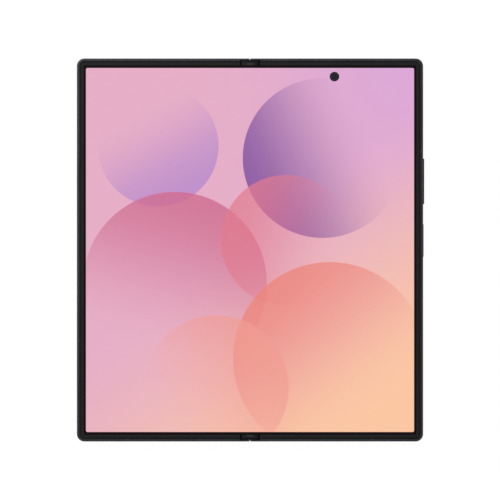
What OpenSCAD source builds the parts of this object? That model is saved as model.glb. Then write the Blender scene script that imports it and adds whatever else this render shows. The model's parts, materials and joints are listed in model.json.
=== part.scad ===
// A foldable phone, opened flat and lying on its back with the screen up.
// +X points to the side with the keys, +Y to the top of the phone, +Z out of the screen.
// The origin lies on the table, under the middle of the fold. The main half is at +X,
// the cover half at -X, and the hinge lies along Y between them, hidden under the screen.

/* [Body] */
// Width of the opened phone across both halves, without the keys
body_w = 143.2; // [130:0.1:180]
// Height of the phone, along the fold
body_h = 158.4; // [150:0.1:200]
// Thickness of the opened phone, without the camera island
body_t = 4.2; // [4.1:0.1:5.2]
// Radius of the four outer corners, seen from the front
corner_r = 3.1; // [2.6:0.1:6]
// Rounding of the frame's front and back edges
edge_r = 0.55; // [0.3:0.05:0.6]
// Width of the metal rim round the display recess and round the back
rim_w = 1.1; // [0.9:0.05:1.3]
// Thickness of the frame's wall behind the rim, round the inner bays
rail_w = 2; // [1.8:0.1:2.6]
// Thickness of the plate that carries the display
mid_t = 0.35; // [0.3:0.05:0.5]
// Thickness of the glass on both backs
glass_t = 0.5; // [0.4:0.05:0.6]
// Gap round each back glass, and between any two fixed pieces that don't touch
fit_gap = 0.05; // [0.03:0.01:0.1]

/* [Display] */
// Width of the dark groove between the rim and the raised bezel
groove_w = 0.3; // [0.2:0.05:0.5]
// Distance from the frame's outer face to the inner edge of the bezel
bezel_inset = 2.85; // [2.4:0.05:3.2]
// Height of the bezel above the display
bezel_rise = 0.2; // [0.1:0.05:0.3]
// Thickness of the rigid display panels
panel_t = 0.5; // [0.45:0.05:0.7]
// Thickness of the flexible strip at the fold
flex_t = 0.4; // [0.3:0.05:0.45]
// Half the width of the flexible strip
flex_x = 9.5; // [9:0.1:12]
// Radius of the hole in the display for the inner camera
punch_r = 1.9; // [1.5:0.1:2.6]
// Distance of that hole from the fold
punch_x = 34.9; // [24:0.1:42]
// Distance of that hole below the top edge
punch_from_top = 7.5; // [7:0.1:12]

/* [Fold] */
// Gap between the two screens when the phone is shut
closed_gap = 0.5; // [0.3:0.05:0.8]
// How much wider the shut phone is than one half
fold_growth = 1.2; // [1:0.05:1.4]
// Gap between the two halves at the back when the phone is open
seam = 0.3; // [0.2:0.05:0.5]
// Height of the hinge cover's underside above the back of the open phone
spine_lift = 0.5; // [0.45:0.05:0.6]
// Thickness of the hinge cover
spine_wall = 0.5; // [0.4:0.05:0.6]
// Gap between the hinge cover and the halves that turn round it
spine_gap = 0.15; // [0.1:0.01:0.2]
// Depth of the hinge cover's channel below the hinge axes, at its sides
spine_drop = 0.575; // [0.5:0.025:0.7]
// Thickness of the frame where it passes the ends of the hinge
fold_wall = 0.6; // [0.6:0.05:0.9]
// Radius of the frame's ends beside the fold, seen from the front
notch_r = 0.45; // [0.3:0.05:0.6]
// Length of the end caps that fill the bezel at the fold
cap_l = 2.05; // [1.8:0.05:2.2]

/* [Hinge modules] */
// Distance of each hinge module's inner end from the middle of the phone
module_y = 42; // [40:0.5:48]
// Length of the arm's arc-shaped runner along the fold
runner_l = 2.4; // [2:0.1:3]
// Inner radius of the runner, about the hinge axis
runner_in = 1.05; // [1:0.05:1.1]
// Outer radius of the runner, about the hinge axis
runner_out = 1.6; // [1.5:0.05:1.6]
// Radial running gap round the runner and round the shafts
run_gap = 0.05; // [0.03:0.01:0.08]
// Thickness of the walls at both sides of each runner
web_l = 0.4; // [0.3:0.05:0.6]
// Length of the arms, from the hinge axis into the half
arm_l = 10.5; // [9.5:0.1:11]
// Thickness of the arms
arm_t = 0.6; // [0.5:0.05:0.65]
// Number of teeth on each gear
gear_teeth = 14; // [14:1:16]
// Tooth size of the gears, as pitch diameter over teeth
gear_m = 0.1; // [0.09:0.005:0.1]
// Length of the gears along the fold
gear_l = 2.4; // [1.8:0.1:3]
// Radius of the idler shafts
shaft_r = 0.3; // [0.25:0.01:0.34]
// Radius of the face cams on the idler shafts
cam_r = 0.62; // [0.55:0.01:0.65]
// Height of the cam lobes
lobe_h = 0.3; // [0.2:0.05:0.4]
// Turns of each torque spring
spring_curls = 8; // [5:1:9]
// Rise of the springs per turn
spring_pitch = 0.68; // [0.65:0.01:0.75]
// Diameter of the spring wire
wire_d = 0.18; // [0.14:0.01:0.2]

/* [Support wings] */
// Half the length of the plates that support the flexible strip
wing_y = 38; // [34:0.5:39]
// Distance from the fold to the pivots of these plates
wing_pivot_x = 9; // [8.6:0.1:9.4]
// Distance from the fold to the inner ends of these plates
wing_in_x = 1.6; // [1.5:0.1:2]
// Thickness of these plates
wing_t = 0.3; // [0.25:0.05:0.3]
// Depth of the wells that they tilt into, below the display's underside
well_d = 1.5; // [1.4:0.05:1.6]

/* [Keys and openings] */
// Height of both keys across the phone's side
key_h = 1.9; // [1.6:0.1:2.1]
// Middle of the volume key below the phone's top edge
volume_from_top = 50.8; // [46:0.1:58]
// Length of the volume key
volume_l = 18.9; // [16:0.1:23]
// Distance that the volume key stands out
volume_proud = 0.45; // [0.3:0.05:0.7]
// Middle of the side key below the phone's top edge
side_key_from_top = 75.3; // [73:0.1:85]
// Length of the side key
side_key_l = 13.5; // [11:0.1:16]
// Distance that the side key stands out
side_key_proud = 0.2; // [0.2:0.05:0.5]
// Gap round each key
key_gap = 0.08; // [0.05:0.01:0.12]
// Thickness of the flange that keeps a key in the frame
flange_t = 0.4; // [0.3:0.05:0.5]
// Overhang of that flange at each end of the key
flange_over = 0.7; // [0.5:0.1:1]
// Distance that a key moves when it is pressed
key_travel = 0.2; // [0.1:0.05:0.3]
// Width of the plastic antenna breaks
break_w = 1; // [0.8:0.1:1.4]
// Width of the charging socket's opening
usb_w = 8.4; // [8.3:0.05:8.6]
// Height of the charging socket's opening
usb_h = 2.56; // [2.5:0.02:2.6]
// Thickness of the charging socket's shell
usb_wall = 0.15; // [0.1:0.01:0.17]
// Depth of the charging socket
usb_depth = 7; // [6:0.1:8]
// Radius of the loudspeaker holes
speaker_hole_r = 0.45; // [0.3:0.05:0.55]
// Number of loudspeaker holes in each row
speaker_holes = 5; // [3:1:6]
// Spacing of the loudspeaker holes
speaker_pitch = 1.3; // [1.2:0.05:1.4]

/* [Card tray] */
// Middle of the card tray below the phone's top edge
tray_from_top = 23.2; // [18:0.1:26]
// Length of the tray's face along the phone's side
tray_l = 16; // [14:0.1:18]
// Height of the tray's face
tray_face_h = 1.9; // [1.6:0.1:2]
// Depth of the tray, from the phone's side inwards
tray_depth = 21; // [18:0.1:24]
// Thickness of the tray behind its face
tray_t = 0.8; // [0.7:0.05:1]

/* [Rear cameras] */
// Width of the camera island
island_w = 19; // [18:0.1:21]
// Width of the camera island beyond the end rings
island_end = 2.3; // [1.8:0.1:4]
// Height of the camera island above the back glass
island_t = 1.3; // [0.8:0.05:1.8]
// Distance from the phone's edges to the camera island
island_inset = 5.4; // [5:0.1:6]
// Height of the camera rings above the island
ring_t = 1.3; // [0.8:0.05:1.8]
// Outer radius of the camera rings
ring_r = 7.6; // [7:0.1:8]
// Width of the camera rings
ring_w = 1.5; // [1.2:0.1:2]
// Gap between neighbouring camera rings
ring_gap = 2.4; // [1.8:0.1:3]
// Radius of the flash window
flash_r = 2.2; // [1.8:0.1:2.8]

/* [Inside] */
// Thickness of the circuit boards
board_t = 0.6; // [0.5:0.05:0.8]
// Distance from the fold to the inner bays
bay_x = 13.2; // [13:0.1:16]
// Distance from the camera island down to the battery bays
island_to_bay = 1.8; // [1.5:0.1:6]
// Distance from the phone's bottom edge up to the battery bays
bottom_bay_l = 29.2; // [27:0.1:36]
// Thickness of the ribs between the bays
rib_t = 0.8; // [0.6:0.1:1.2]
// Gap round the batteries
battery_gap = 0.5; // [0.3:0.1:1]
// Thickness of the cover screen's panel
cover_panel_t = 0.7; // [0.6:0.05:0.9]
// Thickness of the wireless charging coil
coil_t = 0.3; // [0.2:0.05:0.4]
// Width of the wireless charging coil's winding
coil_w = 9; // [5:0.5:11]
// Distance from the coil to the nearest side of its battery bay
coil_gap = 5.7; // [4:0.1:8]
// Radius of the small screws' heads
screw_head_r = 0.8; // [0.7:0.05:0.9]
// Radius of the small screws' shanks
screw_r = 0.4; // [0.3:0.05:0.5]

/* [Hidden] */
$fn = 48;
half_w = body_w / 2;
half_h = body_h / 2;

// Heights, from the table up
back_z = island_t + ring_t;
front_z = back_z + body_t;
glass_z = back_z + glass_t;
display_z = front_z - bezel_rise;
panel_z = display_z - panel_t;
mid_z = panel_z - mid_t;
flex_z = display_z - flex_t;
side_z = back_z + body_t / 2;

// The hinge axes: they set the shut gap and the shut width
axis_x = (body_t + closed_gap / 2 - fold_growth - spine_lift) / 2;
axis_z = back_z + body_t + closed_gap / 2 - axis_x;
spine_r = axis_z - back_z - spine_lift;
channel_r = spine_r - spine_wall;
pocket_r = spine_r + spine_gap;
spine_top_z = axis_z - spine_drop;
channel_z = axis_z - channel_r;
fold_slot_x = axis_x + pocket_r + fit_gap;
spine_y = half_h - fold_wall - spine_gap;
end_plate_t = 0.8;
cap_y = spine_y - cap_l;
cap_base_x = 3.45;
cap_top_x = 2.2;
cap_shoulder = 0.5;
cap_drop = 0.1;

// Display outlines
bezel_out = rim_w + groove_w;
bezel_lip = 0.35;
panel_inset = bezel_out + bezel_lip + fit_gap;
panel_joint = 0.05;

// Places along a hinge module, from its inner end outwards
block_l = runner_l + 2 * (web_l + run_gap);
cover_block_y = block_l;
gear_wall_y = 2 * block_l;
shaft_from_y = gear_wall_y - web_l / 2;
gear_y = gear_wall_y + web_l + run_gap;
far_wall_y = gear_y + gear_l + run_gap;
cam_y = far_wall_y + web_l + run_gap;
cam_l = 0.9;
lobe_gap = 0.05;
follower_y = cam_y + cam_l + 2 * lobe_h + lobe_gap;
follower_l = 1;
spring_y = follower_y + follower_l;
spring_l = spring_curls * spring_pitch + wire_d;
end_wall_y = spring_y + spring_l;
end_wall_bore = 0.7;
end_wall_l = 2.6;
lug_l = 1.8;
module_l = end_wall_y + end_wall_l;
base_gap = 0.05;
base_top_z = axis_z - spine_drop + 0.1;
block_top_z = axis_z - 0.225;
arm_z = axis_z - 0.325;
arm_end_x = axis_x + arm_l;
arm_seat_gap = 0.1;
arm_in_x = axis_x + runner_in;
runner_from = 210;

// Screws: two hold each arm down on its half and two hold each base in the channel
screw_xs = [axis_x + 6.2, axis_x + 9];
screw_depth = 1.2;
head_t = 0.3;
base_screw_ys = [-lug_l / 2, end_wall_y + 1.7];
base_screw_depth = 0.3;
base_head_r = 0.7;

// Gears: two sectors on the arms and two idlers between them
pitch_r = gear_m * gear_teeth / 2;
base_r = pitch_r * cos(20);
tip_r = pitch_r + 0.9 * gear_m;
root_r = pitch_r - 1.15 * gear_m;
tooth_turn = 360 / gear_teeth;
backlash = 1.2;
idler_x = pitch_r;
idler_z = axis_z - sqrt(pow(2 * pitch_r, 2) - pow(axis_x - idler_x, 2));
mesh_turn = atan2(idler_z - axis_z, idler_x - axis_x) + 360;
main_phase = mesh_turn;
main_idler_phase = mate_phase(main_phase, mesh_turn);
cover_idler_phase = mate_phase(main_idler_phase, 180);
cover_gear_phase = mate_phase(cover_idler_phase, 360 - mesh_turn);
cover_phase = mesh_turn + (180 - cover_gear_phase - mesh_turn)
    - tooth_turn * floor((180 - cover_gear_phase - mesh_turn) / tooth_turn + 0.5);
spring_r = 0.5;
spring_sides = 6;
spring_rings = 8;

// Support wings
wing_top_z = panel_z;
wing_pin_r = 0.3;
wing_pin_z = wing_top_z - wing_pin_r - 0.05;
well_z = panel_z - well_d;
well_y = wing_y + 0.6;
well_x = wing_pivot_x + wing_pin_r + 0.3;

// Side openings
inner_rail_x = half_w - rail_w;
flange_play = 0.25;
flange_x = inner_rail_x - flange_play;
switch_x = flange_x - flange_t - key_travel - 0.1;
usb_z = glass_z + usb_h / 2 + usb_wall + 0.03;

// Along the end edges the openings keep their places beside the middle of the half
mid_x = half_w / 2;
usb_x = mid_x;
speaker_x = mid_x + 6.8;
mic_x = mid_x - 8.2;
top_mic_x = mid_x + 4.2;
mic_r = 0.35;
cover_camera_x = (bay_x + half_w - rim_w) / 2;
earpiece_x = cover_camera_x + 3.75;
break_end_x = [mid_x - 8.4, mid_x + 16.3];
break_bottom_x = [mid_x - 15.1, mid_x + 14.9];

// Along the side edges they keep their distance from the top edge or the bottom edge
volume_y = half_h - volume_from_top;
side_key_y = half_h - side_key_from_top;
tray_y = half_h - tray_from_top;
break_side_y = half_h - 38.2;
break_low_y = half_h - 41.9;
tray_z = back_z + 1.95;
tray_gap = 0.08;

// Where the back glass starts, beside the fold
glass_x = 3;

// Rear cameras
camera_pitch = 2 * ring_r + ring_gap;
island_r = island_w / 2;
island_l = 2 * (camera_pitch + ring_r + island_end);
island_x = half_w - island_inset - island_r;
island_y = half_h - island_inset - island_l / 2;
camera_ys = [for (i = [-1:1]) island_y + i * camera_pitch];
lens_r = ring_r - ring_w;
lens_drop = 0.3;
lens_t = 0.5;
barrel_r = 5;
flash_x = island_x - island_r - 5;
flash_y = island_y + camera_pitch;

// Inner bays
bay_end_y = half_h - rail_w - 0.2;
battery_x1 = inner_rail_x - 3;
battery_top = island_y - island_l / 2 - island_to_bay;
battery_bottom = half_h - bottom_bay_l;
coil_r = min(battery_x1 - bay_x, battery_top + battery_bottom) / 2 - coil_gap;
coil_x = (bay_x + battery_x1) / 2;
coil_y = (battery_top - battery_bottom) / 2;

// ---------------------------------------------------------------- shared shapes

// Extrudes an outline drawn in X and Z along Y
module along_y(y0, y1) {
    translate([0, y1, 0])
        rotate([90, 0, 0])
            linear_extrude(y1 - y0)
                children();
}

// Extrudes an outline drawn in Y and Z along X
module along_x(x0, x1) {
    translate([x0, 0, 0])
        rotate([90, 0, 90])
            linear_extrude(x1 - x0)
                children();
}

module box(x0, x1, y0, y1, z0, z1) {
    translate([x0, y0, z0])
        cube([x1 - x0, y1 - y0, z1 - z0]);
}

module on_cover_side() {
    mirror([1, 0, 0])
        children();
}

module both_ends() {
    children();
    mirror([0, 1, 0])
        children();
}

// A half's outline from x0 outwards, set in from the frame's outer face, round at its corners
module half_outline(x0, inset) {
    r = corner_r - inset > 0.3 ? corner_r - inset : 0.3;
    x1 = half_w - inset;
    y1 = half_h - inset;
    translate([x0, -y1])
        square([x1 - x0 - r, 2 * y1]);
    translate([x0, r - y1])
        square([x1 - x0, 2 * (y1 - r)]);
    for (side = [-1, 1])
        translate([x1 - r, side * (y1 - r)])
            circle(r);
}

module half_plate(x0, inset, z0, z1) {
    translate([0, 0, z0])
        linear_extrude(z1 - z0)
            half_outline(x0, inset);
}

// A long hole or bar with round ends, centred on the origin and lying along the first axis
module slot_outline(l, h) {
    square([l - h, h], center = true);
    for (side = [-1, 1])
        translate([side * (l - h) / 2, 0])
            circle(h / 2);
}

// Half of a rounded bar's section, from its middle out, thick towards +Y
module rounded_section(r, h, e) {
    square([r, h - e]);
    square([r - e, h]);
    translate([r - e, h - e])
        circle(e);
}

// ---------------------------------------------------------------- frames

// The outer edge of a half in section: the first axis runs inwards, the second up
module edge_section() {
    translate([edge_r, back_z])
        square([corner_r - edge_r, body_t]);
    translate([0, back_z + edge_r])
        square([corner_r, body_t - 2 * edge_r]);
    for (z = [back_z + edge_r, front_z - edge_r])
        translate([edge_r, z])
            circle(edge_r);
}

module edge_section_inwards() {
    mirror([1, 0])
        edge_section();
}

// A solid half of the phone with its rounded edges
module half_slab() {
    inner_x = half_w - corner_r;
    inner_y = half_h - corner_r;
    box(seam / 2, inner_x, -inner_y, inner_y, back_z, front_z);
    along_y(-inner_y, inner_y)
        translate([half_w, 0])
            edge_section_inwards();
    along_x(seam / 2, inner_x) {
        translate([half_h, 0])
            edge_section_inwards();
        translate([-half_h, 0])
            edge_section();
    }
    for (side = [0, 1])
        mirror([0, side, 0])
            translate([inner_x, inner_y, 0])
                rotate_extrude(angle = 90)
                    translate([corner_r, 0])
                        edge_section_inwards();
}

// What a half must leave free for the hinge cover and for its own turn past the other half
module hinge_pocket() {
    end_y = half_h - fold_wall;
    along_y(-end_y, end_y) {
        translate([axis_x, axis_z])
            circle(pocket_r);
        translate([-1, axis_z - pocket_r])
            square([axis_x + 1, body_t]);
        translate([0, axis_z])
            square([fold_slot_x, body_t]);
    }
    along_y(-half_h - 1, half_h + 1)
        difference() {
            translate([-1, axis_z])
                square([axis_x + 1, body_t]);
            translate([axis_x, axis_z])
                circle(axis_x - seam / 2);
        }
    for (side = [-1, 1])
        translate([0, 0, back_z - 1])
            linear_extrude(body_t + 2)
                difference() {
                    translate([-1, side * half_h - (side > 0 ? notch_r : 1)])
                        square([1 + seam / 2 + notch_r, notch_r + 1]);
                    translate([seam / 2 + notch_r, side * (half_h - notch_r)])
                        circle(notch_r);
                }
}

// The bays between the back glass and the plate under the display
module inner_bays() {
    box(bay_x, inner_rail_x, battery_top + rib_t, bay_end_y, glass_z - 1, mid_z);
    box(bay_x, inner_rail_x, -battery_bottom, battery_top, glass_z - 1, mid_z);
    box(bay_x, inner_rail_x, -bay_end_y, -battery_bottom - rib_t, glass_z - 1, mid_z);
}

// Places of an arm's plate along the fold, from the runner to the gear
module arm_room(block_y) {
    room_top = panel_z + 0.1;
    both_ends()
        box(axis_x + 2, arm_end_x + arm_seat_gap, module_y + block_y - fit_gap,
            module_y + gear_y + gear_l + 2 * fit_gap, arm_z, room_top);
}

module antenna_cuts(bottom_low_y) {
    for (x = break_end_x)
        box(x - break_w / 2, x + break_w / 2, half_h - rim_w, half_h + 1, back_z - 1, front_z + 1);
    for (x = break_bottom_x)
        box(x - break_w / 2, x + break_w / 2, -half_h - 1, rim_w - half_h, back_z - 1, front_z + 1);
    for (y = bottom_low_y)
        box(half_w - rim_w, half_w + 1, y - break_w / 2, y + break_w / 2, back_z - 1, front_z + 1);
}

// A frame before the cuts that only one of the halves has
module half_frame(block_y) {
    difference() {
        half_slab();
        hinge_pocket();
        half_plate(-1, rim_w, panel_z, front_z + 1);
        half_plate(glass_x, rim_w, back_z - 1, glass_z);
        inner_bays();
        arm_room(block_y);
        wing_well();
        arm_screw_holes(block_y);
    }
}

function screw_y(block_y) = module_y + (block_y + gear_y + gear_l) / 2;

module arm_screw_holes(block_y) {
    both_ends()
        for (x = screw_xs)
            translate([x, screw_y(block_y), arm_z - screw_depth])
                cylinder(r = screw_r, h = screw_depth + 1);
}

module speaker_row(x0, y0, y1) {
    for (i = [0:speaker_holes - 1])
        translate([x0 + i * speaker_pitch, 0, side_z])
            along_y(y0, y1)
                circle(speaker_hole_r);
}

module key_hole(y, l) {
    translate([0, y, side_z])
        along_x(inner_rail_x - 1, half_w + 1)
            slot_outline(l + 2 * key_gap, key_h + 2 * key_gap);
}

module main_frame() {
    color("#3e3d42")
        difference() {
            half_frame(0);
            antenna_cuts([break_side_y]);
            key_hole(volume_y, volume_l);
            key_hole(side_key_y, side_key_l);
            usb_room();
            speaker_row(speaker_x, -half_h - 1, 0.1 - bay_end_y);
            translate([mic_x, 0, side_z])
                along_y(-half_h - 1, 0.1 - bay_end_y)
                    circle(mic_r);
            translate([top_mic_x, 0, side_z])
                along_y(bay_end_y - 0.1, half_h + 1)
                    circle(mic_r);
            translate([punch_x, half_h - punch_from_top, mid_z - 1])
                cylinder(r = punch_r, h = mid_t + 2);
        }
}

module cover_frame() {
    color("#3e3d42")
        on_cover_side()
            difference() {
                half_frame(cover_block_y);
                antenna_cuts([break_side_y, -break_low_y]);
                tray_room();
                box(bay_x, inner_rail_x, -bay_end_y, bay_end_y, glass_z - 1,
                    glass_z + cover_panel_t + fit_gap);
                speaker_row(earpiece_x, bay_end_y - 0.1, half_h + 1);
            }
}

// The plastic that fills the cuts in a frame's rim
module breaks(side_ys) {
    intersection() {
        difference() {
            half_slab();
            half_plate(-1, rim_w, back_z - 1, front_z + 1);
        }
        antenna_cuts(side_ys);
    }
}

module main_antenna_breaks() {
    color("#2a2a2c")
        breaks([break_side_y]);
}

module cover_antenna_breaks() {
    color("#2a2a2c")
        on_cover_side()
            breaks([break_side_y, -break_low_y]);
}

// ---------------------------------------------------------------- backs and cameras

module back_glass_plate() {
    half_plate(glass_x + fit_gap, rim_w + fit_gap, back_z, glass_z);
}

module main_back_glass() {
    color("#1d1d20")
        difference() {
            back_glass_plate();
            for (y = camera_ys)
                translate([island_x, y, back_z - 1])
                    cylinder(r = barrel_r + fit_gap, h = glass_t + 2);
            translate([flash_x, flash_y, back_z - 1])
                cylinder(r = flash_r + fit_gap, h = glass_t + 2);
        }
}

// A standing pill with a rounded lower edge, built down from the back glass
module island_pill() {
    straight = island_l - island_w;
    edge = 0.45;
    mirror([0, 0, 1]) {
        along_y(-straight / 2, straight / 2) {
            rounded_section(island_r, island_t, edge);
            mirror([1, 0])
                rounded_section(island_r, island_t, edge);
        }
        for (side = [0, 1])
            mirror([0, side, 0])
                translate([0, straight / 2, 0])
                    rotate_extrude(angle = 180)
                        rounded_section(island_r, island_t, edge);
    }
}

module camera_island() {
    color("#232326")
        difference() {
            translate([island_x, island_y, back_z])
                island_pill();
            for (y = camera_ys)
                translate([island_x, y, 0])
                    cylinder(r = lens_r, h = back_z + 1);
        }
}

module camera_rings() {
    edge = 0.3;
    color("#4a4a4e")
        for (y = camera_ys)
            translate([island_x, y, ring_t])
                mirror([0, 0, 1])
                    difference() {
                        rotate_extrude()
                            rounded_section(ring_r, ring_t, edge);
                        translate([0, 0, -1])
                            cylinder(r = lens_r, h = ring_t + 2);
                    }
}

module camera_lenses() {
    color("#0b0b10")
        for (y = camera_ys)
            translate([island_x, y, lens_drop])
                cylinder(r = lens_r - fit_gap, h = lens_t);
}

module flash_window() {
    color("#d8d4c8")
        translate([flash_x, flash_y, back_z])
            cylinder(r = flash_r, h = glass_t);
}

module rear_camera_modules() {
    housing = 12.5;
    color("#1a1a1c")
        for (y = camera_ys) {
            translate([island_x, y, lens_drop + lens_t])
                cylinder(r = barrel_r, h = glass_z - lens_drop - lens_t);
            box(island_x - housing / 2, island_x + housing / 2, y - housing / 2,
                y + housing / 2, glass_z, mid_z);
        }
}

// ---------------------------------------------------------------- display and bezels

module half_bezel() {
    lip_inset = bezel_out + bezel_lip;
    difference() {
        half_plate(fold_slot_x, bezel_out, panel_z, front_z);
        half_plate(-1, lip_inset, panel_z - 1, display_z);
        half_plate(-1, bezel_inset, panel_z - 1, front_z + 1);
    }
}

module main_bezel() {
    color("#232324")
        half_bezel();
}

module cover_bezel() {
    color("#232324")
        on_cover_side()
            half_bezel();
}

module half_panel() {
    half_plate(flex_x + panel_joint, panel_inset, panel_z, display_z);
}

module main_display() {
    color("#d8a0cc")
        difference() {
            half_panel();
            translate([punch_x, half_h - punch_from_top, panel_z - 1])
                cylinder(r = punch_r, h = panel_t + 2);
        }
}

module cover_display() {
    color("#e8b0c6")
        on_cover_side()
            half_panel();
}

// The strip that bends at the fold, narrower where the end caps stand
module flexible_display() {
    color("#e0afd4") {
        end_y = half_h - panel_inset;
        between_caps_y = cap_y - 0.1;
        cap_clear_x = fold_slot_x + 0.15;
        box(-flex_x, flex_x, -between_caps_y, between_caps_y, flex_z, display_z);
        for (side = [0, 1])
            mirror([side, 0, 0])
                box(cap_clear_x, flex_x, -end_y, end_y, flex_z, display_z);
    }
}

module inner_camera() {
    base = 5.6;
    base_t = 1.5;
    y = half_h - punch_from_top;
    color("#17141c") {
        translate([punch_x, y, mid_z])
            cylinder(r = punch_r - fit_gap, h = display_z - mid_z);
        box(punch_x - base / 2, punch_x + base / 2, y - base / 2, half_h - rail_w - 0.3,
            mid_z - base_t, mid_z);
    }
}

// ---------------------------------------------------------------- inside the main half

module main_battery() {
    color("#303236")
        box(bay_x + battery_gap, battery_x1, battery_gap - battery_bottom,
            battery_top - battery_gap, glass_z + coil_t + 0.1, mid_z);
}

module charging_coil() {
    color("#b06a3a")
        translate([coil_x, coil_y, glass_z])
            difference() {
                cylinder(r = coil_r, h = coil_t);
                translate([0, 0, -1])
                    cylinder(r = coil_r - coil_w, h = coil_t + 2);
            }
}

// Shield cans under the main board, between the fold's side and the cameras
board_edge_x = island_x - 7;
can_x0 = bay_x + 1.8;
can_x1 = board_edge_x - 8.7;
can_gap = 2;
can_mid = can_x0 + (can_x1 - can_x0 - can_gap) * 7 / 12;
can_y = [battery_top + 5, battery_top + 24, battery_top + 41];
can_l = [17, 15, 16];
can_by_camera_x = punch_x - 5.9;
can_list = [
    [can_x0, can_x1, can_y[0], can_l[0]],
    [can_x0, can_mid, can_y[1], can_l[1]],
    [can_mid + can_gap, can_x1, can_y[1], can_l[1]],
    [can_x0, can_by_camera_x, can_y[2], can_l[2]]
];

module main_board() {
    can_t = 1.1;
    color("#1f5a3c") {
        difference() {
            box(bay_x + 0.3, board_edge_x, battery_top + rib_t + 0.4, bay_end_y - 0.3,
                mid_z - board_t, mid_z);
            box(punch_x - 3.3, punch_x + 3.3, half_h - punch_from_top - 3.3, half_h,
                mid_z - 1, mid_z + 1);
        }
        for (can = can_list)
            box(can[0], can[1], can[2], can[2] + can[3],
                mid_z - board_t - can_t, mid_z - board_t);
    }
}

module sub_board() {
    color("#1f5a3c")
        difference() {
            box(bay_x + 0.3, speaker_x + 1.5, 0.4 - bay_end_y, -battery_bottom - rib_t - 0.4,
                mid_z - board_t, mid_z);
            box(usb_x - usb_w / 2 - 0.6, usb_x + usb_w / 2 + 0.6, -half_h,
                rim_w - half_h + usb_depth + 0.4, mid_z - 1, mid_z + 1);
            box(bay_x, bay_x + 12, -battery_bottom - 11, -battery_bottom, mid_z - 1, mid_z + 1);
        }
}

module usb_outline(grow) {
    slot_outline(usb_w + 2 * grow, usb_h + 2 * grow);
}

module usb_room() {
    translate([usb_x, 0, usb_z])
        along_y(-half_h - 1, rim_w - half_h)
            usb_outline(0);
    translate([usb_x, 0, usb_z])
        along_y(rim_w - half_h - fit_gap, rim_w - half_h + usb_depth + 0.1)
            usb_outline(usb_wall + fit_gap);
}

// A shell with a tongue, open towards the bottom edge
module usb_c_socket() {
    mouth_y = rim_w - half_h;
    tongue_w = 6.7;
    tongue_t = 0.7;
    floor_t = 1;
    color("#8f9195")
        translate([usb_x, 0, usb_z]) {
            difference() {
                along_y(mouth_y, mouth_y + usb_depth)
                    usb_outline(usb_wall);
                along_y(mouth_y - 1, mouth_y + usb_depth - floor_t)
                    usb_outline(0);
            }
            box(-tongue_w / 2, tongue_w / 2, mouth_y + 0.6, mouth_y + usb_depth - 0.5,
                -tongue_t / 2, tongue_t / 2);
        }
}

module loudspeaker() {
    color("#26272a")
        box(speaker_x + 2.2, inner_rail_x - 0.3, 0.2 - bay_end_y, -battery_bottom - rib_t - 2,
            glass_z + 0.15, mid_z);
}

module vibration_motor() {
    color("#a2a4a8")
        box(bay_x + 0.6, bay_x + 11, -battery_bottom - 10.4, -battery_bottom - rib_t - 0.4,
            glass_z + 0.15, mid_z);
}

// Small magnets that hold the shut halves together
module half_magnets() {
    magnet = [1.9, 12, 1.6];
    for (y = [6 - battery_bottom, 21 - battery_bottom])
        translate([inner_rail_x - 0.3 - magnet[0], y, mid_z - magnet[2]])
            cube(magnet);
}

module main_magnets() {
    color("#b9bbc0")
        half_magnets();
}

module cover_magnets() {
    color("#b9bbc0")
        on_cover_side()
            half_magnets();
}

module key_switches() {
    carrier_t = 0.3;
    button_l = 2.6;
    button_t = 0.5;
    z0 = side_z - key_h / 2;
    color("#2c2d30") {
        for (y = [[volume_y, volume_l], [side_key_y, side_key_l]])
            box(switch_x - button_t - carrier_t, switch_x - button_t, y[0] - y[1] / 2,
                y[0] + y[1] / 2, z0, mid_z);
        for (y = [volume_y - 6, volume_y + 6, side_key_y])
            box(switch_x - button_t, switch_x, y - button_l / 2, y + button_l / 2,
                z0 + 0.3, z0 + key_h - 0.3);
    }
}

// ---------------------------------------------------------------- keys and card tray

// A key with round ends, a rounded outer edge and a flange behind the wall
module key(y, l, proud) {
    translate([0, y, side_z]) {
        along_x(flange_x - flange_t, half_w + proud)
            slot_outline(l, key_h);
        along_x(flange_x - flange_t, flange_x)
            slot_outline(l + 2 * flange_over, key_h);
    }
}

module side_key() {
    pad_d = 0.08;
    color("#35353a")
        difference() {
            key(side_key_y, side_key_l, side_key_proud);
            translate([0, side_key_y, side_z])
                along_x(half_w + side_key_proud - pad_d, half_w + 2)
                    slot_outline(side_key_l - 0.7, key_h - 0.7);
        }
}

module volume_key() {
    color("#35353a")
        key(volume_y, volume_l, volume_proud);
}

module tray_room() {
    translate([0, tray_y, tray_z])
        along_x(inner_rail_x - 1, half_w + 1)
            slot_outline(tray_l + 2 * tray_gap, tray_face_h + 2 * tray_gap);
}

// A face flush with the frame and a frame for one small card behind it
module card_tray() {
    card = [12.6, 9.2];
    face_t = 1.2;
    body_l = tray_l - 3;
    color("#35353a")
        on_cover_side()
            translate([0, tray_y, tray_z])
                difference() {
                    union() {
                        along_x(half_w - face_t, half_w)
                            slot_outline(tray_l, tray_face_h);
                        box(half_w - tray_depth, half_w - face_t, -body_l / 2, body_l / 2,
                            -tray_t / 2, tray_t / 2);
                    }
                    box(half_w - tray_depth + 2, half_w - tray_depth + 2 + card[0],
                        -card[1] / 2, card[1] / 2, -tray_t / 2 - 1, tray_t);
                    translate([0, tray_l / 2 - tray_face_h / 2, 0])
                        along_x(half_w - face_t - 1, half_w + 1)
                            circle(0.4);
                }
}

// ---------------------------------------------------------------- inside the cover half

module cover_glass() {
    color("#111114")
        on_cover_side()
            back_glass_plate();
}

module cover_screen_panel() {
    color("#18181c")
        on_cover_side()
            box(bay_x + 0.2, inner_rail_x - 0.2, 0.2 - bay_end_y, bay_end_y - 0.2,
                glass_z, glass_z + cover_panel_t);
}

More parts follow.
